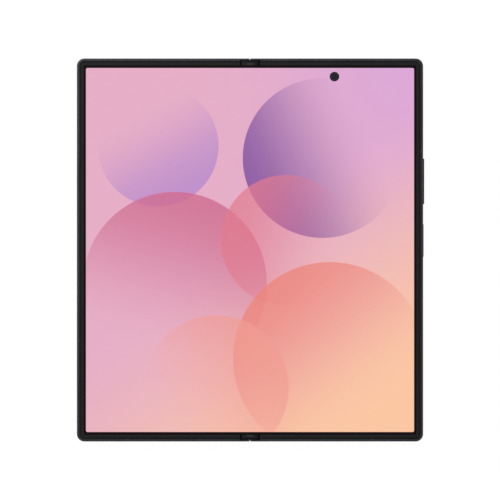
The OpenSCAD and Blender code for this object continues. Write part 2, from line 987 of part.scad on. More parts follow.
module cover_camera() {
    camera_w = 5;
    x = cover_camera_x;
    y = bay_end_y - 5;
    color("#17141c")
        on_cover_side()
            box(x - camera_w / 2, x + camera_w / 2, y - camera_w / 2, y + camera_w / 2,
                glass_z + cover_panel_t, mid_z);
}

module cover_battery() {
    color("#303236")
        on_cover_side()
            box(bay_x + battery_gap, battery_x1, battery_gap - battery_bottom,
                battery_top - battery_gap, glass_z + cover_panel_t + 0.1, mid_z);
}

module cover_board() {
    color("#1f5a3c")
        on_cover_side()
            box(bay_x + 0.3, half_w - tray_depth - 3, battery_top + rib_t + 0.4,
                bay_end_y - 9, mid_z - board_t, mid_z);
}

module earpiece_speaker() {
    color("#26272a")
        on_cover_side()
            box(earpiece_x - 0.6, earpiece_x + 5.6, bay_end_y - 6, bay_end_y - 0.2,
                glass_z + cover_panel_t + 0.1, mid_z);
}

// ---------------------------------------------------------------- hinge

// The hinge cover's section, or its channel's with the smaller radius
module spine_section(r) {
    for (side = [-1, 1])
        translate([side * axis_x, axis_z])
            circle(r);
    translate([-axis_x, axis_z - r])
        square([2 * axis_x, r]);
}

module below(z) {
    intersection() {
        children();
        translate([-20, 0])
            square([40, z]);
    }
}

module hinge_cover() {
    color("#3a3a3e")
        difference() {
            along_y(-spine_y, spine_y)
                below(spine_top_z)
                    spine_section(spine_r);
            along_y(end_plate_t - spine_y, spine_y - end_plate_t)
                spine_section(channel_r);
            base_screw_holes();
        }
}

// Caps that close the bezel at both ends of the fold
module hinge_end_caps() {
    cap_top_z = front_z - cap_drop;
    color("#38383a")
        both_ends()
            along_y(cap_y, spine_y)
                polygon([
                    [-cap_base_x, spine_top_z],
                    [cap_base_x, spine_top_z],
                    [cap_base_x, cap_top_z - cap_shoulder],
                    [cap_top_x, cap_top_z],
                    [-cap_top_x, cap_top_z],
                    [-cap_base_x, cap_top_z - cap_shoulder]
                ]);
}

// A module's pieces are drawn from its inner end outwards, once at each end of the fold
module at_modules() {
    both_ends()
        translate([0, module_y, 0])
            children();
}

// The room that an arm's runner turns in, about the main half's axis
module runner_room(block_y) {
    along_y(block_y + web_l, block_y + web_l + runner_l + 2 * run_gap)
        translate([axis_x, axis_z])
            difference() {
                circle(runner_out + run_gap);
                circle(runner_in - run_gap);
            }
    box(arm_in_x - run_gap, axis_x + spine_r, block_y + web_l,
        block_y + web_l + runner_l + 2 * run_gap, arm_z - run_gap, axis_z);
}

// One block and its walls, screwed down in the channel
module hinge_bases() {
    channel_gap_r = channel_r - base_gap;
    gear_bay_x = idler_x + tip_r + 0.1;
    cam_bay_x = idler_x + cam_r + 0.08;
    color("#8a8c90")
        at_modules()
            difference() {
                union() {
                    along_y(-lug_l, module_l)
                        below(base_top_z)
                            base_section(channel_gap_r);
                    along_y(0, gear_wall_y)
                        below(block_top_z)
                            base_section(channel_gap_r);
                }
                runner_room(0);
                on_cover_side()
                    runner_room(cover_block_y);
                box(-gear_bay_x, gear_bay_x, gear_wall_y + web_l, far_wall_y, 0, front_z);
                along_y(gear_wall_y + web_l, far_wall_y)
                    for (side = [-1, 1])
                        translate([side * axis_x, axis_z])
                            circle(tip_r + 0.1);
                box(-cam_bay_x, cam_bay_x, far_wall_y + web_l, end_wall_y, 0, front_z);
                for (side = [-1, 1])
                    translate([side * idler_x, 0, idler_z])
                        along_y(shaft_from_y - fit_gap, end_wall_y + end_wall_bore + fit_gap)
                            circle(shaft_r + run_gap);
                base_screw_rooms();
            }
}

// The base's section stands on the channel's floor and keeps off its curved sides
module base_section(r) {
    for (side = [-1, 1])
        translate([side * axis_x, axis_z])
            circle(r);
    translate([-axis_x, channel_z])
        square([2 * axis_x, channel_r]);
}

module base_screw_rooms() {
    for (y = base_screw_ys)
        translate([0, y, channel_z - 1]) {
            cylinder(r = screw_r, h = body_t);
            translate([0, 0, base_top_z - head_t - channel_z + 1])
                cylinder(r = base_head_r, h = body_t);
        }
}

module base_screw_holes() {
    at_modules()
        for (y = base_screw_ys)
            translate([0, y, channel_z - base_screw_depth])
                cylinder(r = screw_r, h = body_t);
}

module hinge_base_screws() {
    color("#c4c6ca")
        at_modules()
            for (y = base_screw_ys)
                translate([0, y, 0]) {
                    translate([0, 0, channel_z - base_screw_depth])
                        cylinder(r = screw_r, h = base_top_z - channel_z + base_screw_depth);
                    translate([0, 0, base_top_z - head_t])
                        cylinder(r = base_head_r, h = head_t);
                }
}

// ---------------------------------------------------------------- arms

// The part of a ring from the runner's free end round to the arm
module runner_arc() {
    intersection() {
        difference() {
            circle(runner_out);
            circle(runner_in);
        }
        polygon([[0, 0], [4, 0], [4, -4], [-4, -4], [-4, 4 * tan(180 - runner_from)]]);
    }
}

// An arm: a runner about the axis, a sector gear and the plate that joins them to its half
module hinge_arm(block_y, phase) {
    runner_y = block_y + web_l + run_gap;
    runner_end = runner_y + runner_l;
    gear_end = gear_y + gear_l;
    outside_x = fold_slot_x - 0.05;
    along_y(runner_y, runner_end)
        translate([axis_x, axis_z])
            runner_arc();
    box(arm_in_x, arm_end_x, runner_y, runner_end, arm_z, arm_z + arm_t);
    box(axis_x, arm_end_x, gear_y, gear_end, arm_z, arm_z + arm_t);
    box(outside_x, arm_end_x, runner_y, gear_end, arm_z, arm_z + arm_t);
    along_y(gear_y, gear_end)
        translate([axis_x, axis_z])
            sector_gear(phase);
}

module hinge_arms(block_y, phase) {
    difference() {
        at_modules()
            hinge_arm(block_y, phase);
        both_ends()
            for (x = screw_xs)
                translate([x, screw_y(block_y), arm_z - 1]) {
                    cylinder(r = screw_r, h = 3);
                    translate([0, 0, 1 + arm_t - head_t])
                        cylinder(r = screw_head_r, h = 1);
                }
    }
}

module arm_screws(block_y) {
    both_ends()
        for (x = screw_xs)
            translate([x, screw_y(block_y), 0]) {
                translate([0, 0, arm_z - screw_depth])
                    cylinder(r = screw_r, h = screw_depth + arm_t);
                translate([0, 0, arm_z + arm_t - head_t])
                    cylinder(r = screw_head_r, h = head_t);
            }
}

module main_hinge_arms() {
    color("#9a9ca0")
        hinge_arms(0, main_phase);
}

module cover_hinge_arms() {
    color("#9a9ca0")
        on_cover_side()
            hinge_arms(cover_block_y, cover_phase);
}

module main_arm_screws() {
    color("#c4c6ca")
        arm_screws(0);
}

module cover_arm_screws() {
    color("#c4c6ca")
        on_cover_side()
            arm_screws(cover_block_y);
}

// ---------------------------------------------------------------- gears

// The phase of a gear in mesh with an equal one that lies opposite, in degrees
function mate_phase(phase, turn) = 180 + 2 * turn - phase + tooth_turn / 2;

function involute(r) = r <= base_r ? 0 : tan(acos(base_r / r)) * 180 / PI - acos(base_r / r);

// Half a tooth's angle at radius r
function half_tooth(r) = 90 / gear_teeth - backlash + involute(pitch_r) - involute(r);

flank = [root_r, base_r, pitch_r, tip_r];

function gear_points(phase, first, last) = [
    for (i = [first:last], side = [-1, 1], k = [0:3])
        let (r = flank[side < 0 ? k : 3 - k])
        let (a = phase + i * tooth_turn + side * half_tooth(r))
        [r * cos(a), r * sin(a)]
];

// Only the teeth that mesh while the phone folds, kept under the display
module sector_gear(phase) {
    intersection() {
        union() {
            polygon(concat([[0, 0]], gear_points(phase, -5, 1)));
            circle(root_r - 0.02);
        }
        translate([-2, -2])
            square([4, 2 + arm_z + arm_t - axis_z]);
    }
}

// An idler: its gear, its shaft and its face cam
module idler_shaft(side, phase) {
    at_modules()
        translate([side * idler_x, 0, idler_z]) {
            along_y(gear_y, gear_y + gear_l)
                polygon(gear_points(phase, 0, gear_teeth - 1));
            along_y(shaft_from_y, end_wall_y + end_wall_bore)
                circle(shaft_r);
            along_y(cam_y, cam_y + cam_l)
                circle(cam_r);
            along_y(cam_y + cam_l, cam_y + cam_l + lobe_h)
                cam_lobes(0);
        }
}

// Two raised quarters of a ring, the same on the cams and on the followers
module cam_lobes(turn) {
    intersection() {
        difference() {
            circle(cam_r);
            circle(shaft_r + run_gap);
        }
        rotate(turn)
            for (side = [0, 180])
                rotate(side)
                    square(2);
    }
}

module main_idler_shafts() {
    color("#b0b2b6")
        idler_shaft(1, main_idler_phase);
}

module cover_idler_shafts() {
    color("#b0b2b6")
        idler_shaft(-1, cover_idler_phase);
}

// One block on both shafts that the springs push against the cams
module cam_followers() {
    side_x = idler_x + cam_r;
    base_y = cam_y + cam_l + 2 * lobe_h + lobe_gap;
    color("#a6a8ac")
        at_modules() {
            difference() {
                box(-side_x, side_x, base_y, base_y + follower_l, idler_z - cam_r, idler_z + cam_r);
                for (side = [-1, 1])
                    translate([side * idler_x, 0, idler_z])
                        along_y(base_y - 1, base_y + follower_l + 1)
                            circle(shaft_r + run_gap);
            }
            for (side = [-1, 1])
                translate([side * idler_x, 0, idler_z])
                    along_y(base_y - lobe_h, base_y)
                        cam_lobes(90);
        }
}

// ---------------------------------------------------------------- torque springs

// The centre line of a spring: a helix along Y
function helix_point(t) = [
    spring_r * cos(360 * t),
    wire_d / 2 + t * spring_pitch,
    spring_r * sin(360 * t)
];

// The wire's section at turn t
function wire_point(t, k) =
    let (spin = 360 * k / spring_sides)
    let (out = cos(spin) * wire_d / 2)
    helix_point(t) + [out * cos(360 * t), sin(spin) * wire_d / 2, out * sin(360 * t)];

spring_steps = spring_curls * spring_rings;
spring_points = [
    for (i = [0:spring_steps], k = [0:spring_sides - 1])
        wire_point(i / spring_rings, k)
];
spring_faces = concat(
    [for (i = [0:spring_steps - 1], k = [0:spring_sides - 1])
        let (a = i * spring_sides + k)
        let (b = i * spring_sides + (k + 1) % spring_sides)
        [a, b, b + spring_sides]],
    [for (i = [0:spring_steps - 1], k = [0:spring_sides - 1])
        let (a = i * spring_sides + k)
        let (b = i * spring_sides + (k + 1) % spring_sides)
        [a, b + spring_sides, a + spring_sides]],
    [for (k = [1:spring_sides - 2]) [0, k + 1, k]],
    [for (k = [1:spring_sides - 2])
        let (last = spring_steps * spring_sides)
        [last, last + k, last + k + 1]]
);

// The least gap between two turns, measured on the wire's own points
spring_gap = min([
    for (k = [0:spring_rings - 1], m = [-2:2])
        norm(helix_point(k / spring_rings) - helix_point((k + m) / spring_rings + 1)) - wire_d
]);
echo(spring_gap = spring_gap);

module torque_springs() {
    color("#c8cace")
        at_modules()
            for (side = [-1, 1])
                translate([side * idler_x, spring_y, idler_z])
                    polyhedron(spring_points, spring_faces);
}

// ---------------------------------------------------------------- support wings

// A plate on a pin in its half, which lets the display bend when the phone shuts
module support_wing() {
    pin_end = well_y + 0.5;
    plate_top = wing_top_z - 0.05;
    box(wing_in_x, wing_pivot_x, -wing_y, wing_y, plate_top - wing_t, plate_top);
    translate([wing_pivot_x, 0, wing_pin_z])
        along_y(-pin_end, pin_end)
            circle(wing_pin_r);
}

module main_support_wing() {
    color("#b4b6ba")
        support_wing();
}

module cover_support_wing() {
    color("#b4b6ba")
        on_cover_side()
            support_wing();
}

module wing_well() {
    box(axis_x, well_x, -well_y, well_y, well_z, front_z);
    translate([wing_pivot_x, 0, wing_pin_z])
        along_y(-well_y - 0.6, well_y + 0.6)
            circle(wing_pin_r + run_gap);
}

main_frame();
main_antenna_breaks();
main_back_glass();
camera_island();
camera_rings();
camera_lenses();
flash_window();
rear_camera_modules();
main_bezel();
main_display();
inner_camera();
main_battery();
charging_coil();
main_board();
sub_board();
usb_c_socket();
loudspeaker();
vibration_motor();
main_magnets();
key_switches();
side_key();
volume_key();
main_hinge_arms();
main_arm_screws();
main_support_wing();
cover_frame();
cover_antenna_breaks();
cover_glass();
cover_screen_panel();
cover_camera();
cover_bezel();
cover_display();
cover_battery();
cover_board();
earpiece_speaker();
card_tray();
cover_magnets();
cover_hinge_arms();
cover_arm_screws();
cover_support_wing();
hinge_cover();
hinge_end_caps();
hinge_bases();
hinge_base_screws();
main_idler_shafts();
cover_idler_shafts();
cam_followers();
torque_springs();
flexible_display();
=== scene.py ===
# A phone that folds like a book, lying open on its back with its large inner screen lit.
# The rigid parts come ready made from CAD and get their finishes here. The soft screen over the
# fold, the dust lips at its ends, the camera optics, the socket's contacts and the speaker meshes
# are modelled here. The right half is the main half, and the left half, which folds over it, is
# the cover half.

import json
import math

import bmesh
import bpy
from mathutils import Matrix, Vector

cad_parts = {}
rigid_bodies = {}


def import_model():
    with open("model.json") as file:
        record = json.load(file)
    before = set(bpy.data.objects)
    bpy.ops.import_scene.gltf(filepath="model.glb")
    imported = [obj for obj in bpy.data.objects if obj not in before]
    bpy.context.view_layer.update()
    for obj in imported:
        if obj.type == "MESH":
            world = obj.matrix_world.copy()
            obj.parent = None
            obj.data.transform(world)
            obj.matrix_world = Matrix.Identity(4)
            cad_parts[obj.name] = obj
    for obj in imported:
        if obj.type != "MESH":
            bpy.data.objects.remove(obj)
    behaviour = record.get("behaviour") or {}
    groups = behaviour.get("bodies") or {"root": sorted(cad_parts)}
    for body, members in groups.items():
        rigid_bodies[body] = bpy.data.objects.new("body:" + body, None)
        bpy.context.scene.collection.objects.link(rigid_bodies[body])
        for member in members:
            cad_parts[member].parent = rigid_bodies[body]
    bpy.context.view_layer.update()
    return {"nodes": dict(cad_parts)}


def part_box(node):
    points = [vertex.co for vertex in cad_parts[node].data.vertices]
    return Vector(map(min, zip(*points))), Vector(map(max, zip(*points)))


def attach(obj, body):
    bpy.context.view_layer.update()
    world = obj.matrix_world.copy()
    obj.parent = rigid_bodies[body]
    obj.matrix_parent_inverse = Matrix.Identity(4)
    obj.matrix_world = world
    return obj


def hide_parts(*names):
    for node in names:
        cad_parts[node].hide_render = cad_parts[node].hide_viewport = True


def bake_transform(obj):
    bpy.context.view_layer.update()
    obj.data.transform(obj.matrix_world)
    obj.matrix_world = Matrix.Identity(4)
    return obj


for leftover in list(bpy.data.objects):
    bpy.data.objects.remove(leftover)
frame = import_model()
cad = frame["nodes"]
mm = 0.001


# Frames of both halves, with the card tray and the keys. All are milled from aluminium plate,
# blasted with fine beads and then anodised in charcoal, so the surface is a tight matt grain.
# The dimples are drawn about twice as wide as real ones.


def colour(code):
    """A colour written as #rrggbb, as linear light with full alpha."""
    parts = [int(code[i : i + 2], 16) / 255 for i in (1, 3, 5)]
    linear = [c / 12.92 if c <= 0.04045 else ((c + 0.055) / 1.055) ** 2.4 for c in parts]
    return (*linear, 1.0)


def feed(material, node, *inputs, **named):
    """Fills a node's inputs, in order or by name, with numbers, colour codes or outputs."""
    pairs = list(zip([socket for socket in node.inputs if socket.enabled], inputs))
    pairs += [(node.inputs[name.replace("_", " ")], value) for name, value in named.items()]
    for socket, value in pairs:
        if isinstance(value, bpy.types.NodeSocket):
            material.node_tree.links.new(value, socket)
        else:
            socket.default_value = colour(value) if isinstance(value, str) else value


def add(material, kind, *inputs, **named):
    """Adds a node and gives its first output in use. What is named in small letters is one of
    the node's settings, and all else is an input."""
    made = material.node_tree.nodes.new("ShaderNode" + kind)
    for name in [name for name in named if name.islower()]:
        setattr(made, name, named.pop(name))
    feed(material, made, *inputs, **named)
    return next((socket for socket in made.outputs if socket.enabled), None)


def new_finish(name, **fixed):
    """A material with one Principled shader, its fixed numbers, and its place on the phone."""
    material = bpy.data.materials.new(name)
    material.use_nodes = True
    shader = material.node_tree.nodes["Principled BSDF"]
    feed(material, shader, **fixed)
    place = add(material, "TexCoord").node.outputs["Object"]
    return material, shader, place


def toned(material, grain, dark, light, low=0.3, high=0.7):
    """A colour between two tones: dark where the grain is low, and light where it is high."""
    share = add(material, "MapRange", grain, low, high)
    return add(material, "Mix", share, dark, light, data_type="RGBA")


def finish(material, *names):
    """Gives CAD nodes this one material."""
    for name in names:
        cad[name].data.materials.clear()
        cad[name].data.materials.append(material)


def blasted_aluminium(name, dark, light, rough):
    """Anodised aluminium after bead blasting: a fine grain, with faint clouds from the bath."""
    dimple_width, dimple_depth, cloud_width = 0.09 * mm, 0.004 * mm, 14 * mm
    material, shader, place = new_finish(name, Metallic=0.82)
    grain = add(material, "TexNoise", place, Scale=1 / dimple_width, Detail=3)
    cloud = add(material, "TexNoise", place, Scale=1 / cloud_width, Detail=3)
    fine = add(material, "Math", grain, 0.45, operation="MULTIPLY")
    wide = add(material, "Math", cloud, 0.55, operation="MULTIPLY")
    both = add(material, "Math", fine, wide, operation="ADD")
    feed(
        material,
        shader,
        Base_Color=toned(material, both, dark, light, 0.35, 0.65),
        Roughness=add(material, "MapRange", grain, 0.3, 0.7, rough - 0.05, rough + 0.07),
        Normal=add(material, "Bump", Height=grain, Distance=dimple_depth, Strength=0.5),
    )
    return material


frame_finish = blasted_aluminium("Bead_blasted_charcoal_aluminium", "#3c3b40", "#47464c", 0.4)
finish(frame_finish, "main_frame", "cover_frame", "card_tray")

key_finish = blasted_aluminium("Fine_blasted_key_aluminium", "#3f3e43", "#4c4b51", 0.33)
finish(key_finish, "side_key", "volume_key")


# Antenna breaks: strips of glass-filled nylon moulded through the frame, so that the metal
# pieces on each side can work as aerials. Milled flush with the frame, they show cut fibres, and
# are a shade greyer.


def grained(name, size, dark, light, high=0.7, detail=3, stretch=None, rough=None, relief=None,
            **fixed):
    """A finish between two tones by one grain of this size, drawn out where stretch is low. The
    grain may also set the roughness, between two numbers, and stand up by the relief."""
    material, shader, place = new_finish(name, **fixed)
    if stretch:
        place = add(material, "Mapping", place, Scale=stretch)
    grain = add(material, "TexNoise", place, Scale=1 / size, Detail=detail)
    feed(material, shader, Base_Color=toned(material, grain, dark, light, high=high))
    if rough:
        feed(material, shader, Roughness=add(material, "MapRange", grain, 0.3, 0.7, *rough))
    if relief:
        raised = add(material, "Bump", Height=grain, Distance=relief, Strength=0.5)
        feed(material, shader, Normal=raised)
    return material


nylon = grained("Milled_glass_filled_nylon", 0.12 * mm, "#232326", "#303034", high=0.72,
                stretch=(1, 1, 0.35), relief=0.003 * mm, Roughness=0.62)
finish(nylon, "main_antenna_breaks", "cover_antenna_breaks")


# Hinge cover: the long rounded spine behind the fold. An aluminium extrusion, brushed along
# its length and anodised darker and glossier than the frames.

stroke_width = 0.05 * mm
stroke_depth = 0.003 * mm
brushed, shader, place = new_finish("Brushed_dark_aluminium", Metallic=0.9)
along_spine = add(brushed, "Mapping", place, Scale=(1, 0.012, 1))
stroke = add(brushed, "TexNoise", along_spine, Scale=1 / stroke_width, Detail=3)
feed(
    brushed,
    shader,
    Base_Color=toned(brushed, stroke, "#2b2b2f", "#3b3b40"),
    Roughness=add(brushed, "MapRange", stroke, 0.25, 0.75, 0.24, 0.36),
    Normal=add(brushed, "Bump", Height=stroke, Distance=stroke_depth, Strength=0.45),
)
finish(brushed, "hinge_cover")


# End caps that close the spine above and below the screen. Moulded polycarbonate with
# a spark-eroded texture, and a painted highlight that makes it paler along the ridge. The
# outer edge, under the frames' rims, is painted black as the shade that falls there.

pit_width = 0.11 * mm
pit_depth = 0.008 * mm
ridge_reach = 2.4 * mm
ridge_crown = 0.6 * mm
dark_from = 77.2 * mm
dark_past = 77.6 * mm
polycarbonate, shader, place = new_finish("Spark_textured_polycarbonate", Specular_IOR_Level=0.18)
pits = add(polycarbonate, "TexNoise", place, Scale=1 / pit_width, Detail=3)
axes = add(polycarbonate, "SeparateXYZ", place).node.outputs
from_fold = add(polycarbonate, "Math", axes["X"], operation="ABSOLUTE")
from_middle = add(polycarbonate, "Math", axes["Y"], operation="ABSOLUTE")
ridge = add(polycarbonate, "MapRange", from_fold, ridge_reach, ridge_crown,
            interpolation_type="SMOOTHSTEP")
# Painted highlight: the ridge's crown is mixed paler, as if lit.
ridge_highlight = add(polycarbonate, "Math", ridge, 0.75, operation="MULTIPLY")
# Painted shade: the outer edge under the frames' rims goes near black.
rim_shade = add(polycarbonate, "MapRange", from_middle, dark_from, dark_past)
cap_tone = toned(polycarbonate, pits, "#101011", "#19191a")
cap_tone = add(polycarbonate, "Mix", ridge_highlight, cap_tone, "#333332", data_type="RGBA")
feed(
    polycarbonate,
    shader,
    Base_Color=add(polycarbonate, "Mix", rim_shade, cap_tone, "#060607", data_type="RGBA"),
    Roughness=add(polycarbonate, "MapRange", pits, 0.3, 0.7, 0.42, 0.6),
    Normal=add(polycarbonate, "Bump", Height=pits, Distance=pit_depth, Strength=0.6),
)
finish(polycarbonate, "hinge_end_caps")


# Dust lips: a thin black rubber blade on the outer face of each end cap closes the seam
# between the two frames. It is moulded with rounded edges and bonded on.


def new_piece(name):
    """Names the primitive just added, and its mesh."""
    piece = bpy.context.active_object
    piece.name = name
    piece.data.name = name
    return piece


rubber = grained("Black_silicone_rubber", 0.2 * mm, "#0d0d0e", "#19191a", relief=0.004 * mm,
                 Roughness=0.7, Specular_IOR_Level=0.3)
blade_size = (0.24 * mm, 0.6 * mm, 1.3 * mm)
blade_edge = 0.08 * mm
blade_out = 0.26 * mm
blade_up = 0.75 * mm

cap_low, cap_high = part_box("hinge_end_caps")
for end, end_name in ((1, "upper"), (-1, "lower")):
    bpy.ops.object.select_all(action="DESELECT")
    bpy.ops.mesh.primitive_cube_add(size=1)
    blade = new_piece(end_name + "_dust_lip")
    bpy.ops.object.mode_set(mode="EDIT")
    bpy.ops.mesh.select_all(action="SELECT")
    bpy.ops.transform.resize(value=blade_size)
    bpy.ops.mesh.bevel(offset=blade_edge, segments=3, affect="EDGES")
    bpy.ops.mesh.select_all(action="SELECT")
    bpy.ops.transform.translate(value=(0, end * (cap_high.y + blade_out), cap_low.z + blade_up))
    bpy.ops.object.mode_set(mode="OBJECT")
    bpy.ops.object.shade_smooth_by_angle(angle=math.radians(40))
    blade.data.materials.append(rubber)
    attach(blade, "spine")


# Raised bezels round the inner screen: a narrow moulded lip that keeps the shut screens
# apart. Soft-touch polyurethane over nylon, evenly matt, with a faint moulding grain, and
# painted shade round its outer edge, where it dips to the frame.


def past_corners(material, flat, half_x, half_y, corner):
    """How far a place lies outside the rectangle through the corners' centres. All along the
    rounded outline, that is the corner's radius."""
    centres = (half_x - corner, half_y - corner, 0)
    past = add(material, "VectorMath", flat, operation="ABSOLUTE")
    past = add(material, "VectorMath", past, centres, operation="SUBTRACT")
    past = add(material, "VectorMath", past, (0, 0, 0), operation="MAXIMUM")
    return add(material, "VectorMath", past, operation="LENGTH")


bezel_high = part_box("main_bezel")[1]
bezel_corner = 1.7 * mm
dip_width = 0.42 * mm
dip_blur = 0.12 * mm
skin_width = 0.07 * mm
skin_depth = 0.004 * mm
soft_lip, shader, place = new_finish("Soft_touch_polyurethane", Roughness=0.6,
                                     Specular_IOR_Level=0.22)
flat = add(soft_lip, "VectorMath", place, (1, 1, 0), operation="MULTIPLY")
past = past_corners(soft_lip, flat, bezel_high.x, bezel_high.y, bezel_corner)
dip_start = bezel_corner - dip_width
# Painted shade: a near-black band round the outer edge, where the lip dips to the frame.
dip_shade = add(soft_lip, "MapRange", past, dip_start, dip_start + dip_blur)
skin = add(soft_lip, "TexNoise", place, Scale=1 / skin_width, Detail=3)
drift = add(soft_lip, "TexNoise", place, Scale=1 / (20 * mm), Detail=2)
both = add(soft_lip, "Math", skin, drift, operation="ADD")
lip_tone = toned(soft_lip, both, "#131214", "#1a181a", 0.7, 1.3)
feed(
    soft_lip,
    shader,
    Base_Color=add(soft_lip, "Mix", dip_shade, lip_tone, "#050506", data_type="RGBA"),
    Normal=add(soft_lip, "Bump", Height=skin, Distance=skin_depth, Strength=0.5),
)
finish(soft_lip, "main_bezel", "cover_bezel")


# Back glass of the main half: toughened glass, etched with acid on its outer face and printed
# in near-black behind it. Matt with a slow shimmer, because the etch leaves tiny facets, which
# are drawn about twice as wide as real ones.

facet_width = 0.06 * mm
facet_depth = 0.0015 * mm
etched, shader, place = new_finish("Acid_etched_black_glass", Coat_Weight=0.25,
                                   Coat_Roughness=0.3, IOR=1.5)
facets = add(etched, "TexNoise", place, Scale=1 / facet_width, Detail=2)
ink = add(etched, "TexNoise", place, Scale=1 / (30 * mm), Detail=2)
feed(
    etched,
    shader,
    Base_Color=toned(etched, ink, "#1d1e22", "#24262b"),
    Roughness=add(etched, "MapRange", facets, 0.3, 0.7, 0.3, 0.46),
    Normal=add(etched, "Bump", Height=facets, Distance=facet_depth, Strength=0.5),
)
finish(etched, "main_back_glass")


# Outer screen on the cover half: gloss glass over a display that is off. The printed border
# is near-black, the display behind the glass a shade bluer, and the camera looks out of a
# small round window in it, at the same place as the camera module behind.


def from_upright(material, place, centre):
    """How far a place lies from the upright line through a centre."""
    flat = add(material, "VectorMath", place, (1, 1, 0), operation="MULTIPLY")
    return add(material, "VectorMath", flat, (centre.x, centre.y, 0), operation="DISTANCE")


gloss, shader, place = new_finish("Gloss_cover_screen_glass", IOR=1.52, Coat_Weight=0.6,
                                  Coat_Roughness=0.02)
glass_low, glass_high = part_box("cover_glass")
glass_mid = (glass_low + glass_high) / 2
border = 1.9 * mm
border_blur = 0.1 * mm
window_reach = 1.95 * mm
iris_reach = 1.0 * mm
iris_heart = 0.5 * mm
axes = add(gloss, "SeparateXYZ", place).node.outputs
across = add(gloss, "Math", axes["X"], glass_mid.x, operation="SUBTRACT")
inside = []
for off_middle, reach in ((across, glass_high.x - glass_mid.x), (axes["Y"], glass_high.y)):
    off_middle = add(gloss, "Math", off_middle, operation="ABSOLUTE")
    edge = reach - border
    inside.append(add(gloss, "MapRange", off_middle, edge, edge - border_blur))
panel_area = add(gloss, "Math", *inside, operation="MULTIPLY")
camera_low, camera_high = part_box("cover_camera")
from_eye = from_upright(gloss, place, (camera_low + camera_high) / 2)
window = add(gloss, "MapRange", from_eye, window_reach, window_reach - border_blur)
iris = add(gloss, "MapRange", from_eye, iris_reach, iris_heart, interpolation_type="SMOOTHSTEP")
glass_tone = add(gloss, "Mix", panel_area, "#050506", "#0b0c10", data_type="RGBA")
glass_tone = add(gloss, "Mix", window, glass_tone, "#020203", data_type="RGBA")
wiped_along = add(gloss, "Mapping", place, Scale=(1, 0.45, 1))
smear = add(gloss, "TexNoise", wiped_along, Scale=1 / (9 * mm), Detail=3)
feed(
    gloss,
    shader,
    Base_Color=add(gloss, "Mix", iris, glass_tone, "#12203a", data_type="RGBA"),
    Roughness=add(gloss, "MapRange", smear, 0.35, 0.75, 0.03, 0.1),
)
finish(gloss, "cover_glass")


# Camera island and the three rings that stand on it. The island is aluminium, blasted to a
# satin and anodised. The rings are turned on a lathe, so their faces carry fine circular cuts.

island_finish = blasted_aluminium("Satin_island_aluminium", "#2e2e32", "#38383c", 0.3)
finish(island_finish, "camera_island")

ring_low, ring_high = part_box("camera_rings")
ring_reach = (ring_high.x - ring_low.x) / 2
ring_pitch = (ring_high.y - ring_low.y) / 2 - ring_reach
ring_mid = (ring_low + ring_high) / 2


def from_ring_axis(material, axes):
    """How far a place lies from the axis of the nearest of the three rings."""
    across = add(material, "Math", axes["X"], ring_mid.x, operation="SUBTRACT")
    along = add(material, "Math", axes["Y"], ring_mid.y, operation="SUBTRACT")
    along = add(material, "Math", along, ring_pitch / 2, -ring_pitch / 2, operation="WRAP")
    across = add(material, "Math", across, 2.0, operation="POWER")
    along = add(material, "Math", along, 2.0, operation="POWER")
    both = add(material, "Math", across, along, operation="ADD")
    return add(material, "Math", both, operation="SQRT")


cut_width = 0.06 * mm
cut_depth = 0.003 * mm
turned, shader, place = new_finish("Lathe_turned_ring_aluminium", Metallic=0.9)
axes = add(turned, "SeparateXYZ", place).node.outputs
cuts_at = add(turned, "CombineXYZ", X=from_ring_axis(turned, axes), Y=axes["Z"])
cuts = add(turned, "TexNoise", cuts_at, Scale=1 / cut_width, Detail=3)
feed(
    turned,
    shader,
    Base_Color=toned(turned, cuts, "#3c3c40", "#525257"),
    Roughness=add(turned, "MapRange", cuts, 0.3, 0.7, 0.16, 0.3),
    Normal=add(turned, "Bump", Height=cuts, Distance=cut_depth, Strength=0.6),
)
finish(turned, "camera_rings")


# Rear camera optics: inside each ring sits a stack of blackened baffles that step down to a
# domed front element with a multi-layer coating, whose crown stays a hair below the rim. The
# stack is spun from one outline and copied for the three cameras.


def by_corners(face):
    """A number that each face of a spun piece has to itself, from its own corners."""
    numbers = [corner.index for corner in face.verts]
    return min(numbers) * 1e4 + max(numbers)


def spun(name, profile):
    """Spins an outline of (radius, height) points round the upright line through the origin. Its
    faces are then sorted, because spin leaves them in another order each run."""
    bpy.ops.object.select_all(action="DESELECT")
    bpy.ops.mesh.primitive_plane_add(size=1)
    piece = new_piece(name)
    shape = bmesh.new()
    corners = [shape.verts.new((radius, 0, height)) for radius, height in profile]
    for one, two in zip(corners, corners[1:]):
        shape.edges.new((one, two))
    shape.to_mesh(piece.data)
    shape.free()
    bpy.ops.object.mode_set(mode="EDIT")
    bpy.ops.mesh.select_all(action="SELECT")
    bpy.ops.mesh.spin(steps=64, angle=math.tau, center=(0, 0, 0), axis=(0, 0, 1))
    bpy.ops.mesh.select_all(action="SELECT")
    bpy.ops.mesh.remove_doubles(threshold=1e-7)
    bpy.ops.mesh.normals_make_consistent(inside=False)
    shape = bmesh.from_edit_mesh(piece.data)
    shape.verts.index_update()
    shape.faces.sort(key=by_corners)
    bmesh.update_edit_mesh(piece.data)
    bpy.ops.mesh.select_all(action="DESELECT")
    bpy.ops.object.mode_set(mode="OBJECT")
    bpy.ops.object.shade_smooth_by_angle(angle=math.radians(28))
    return piece


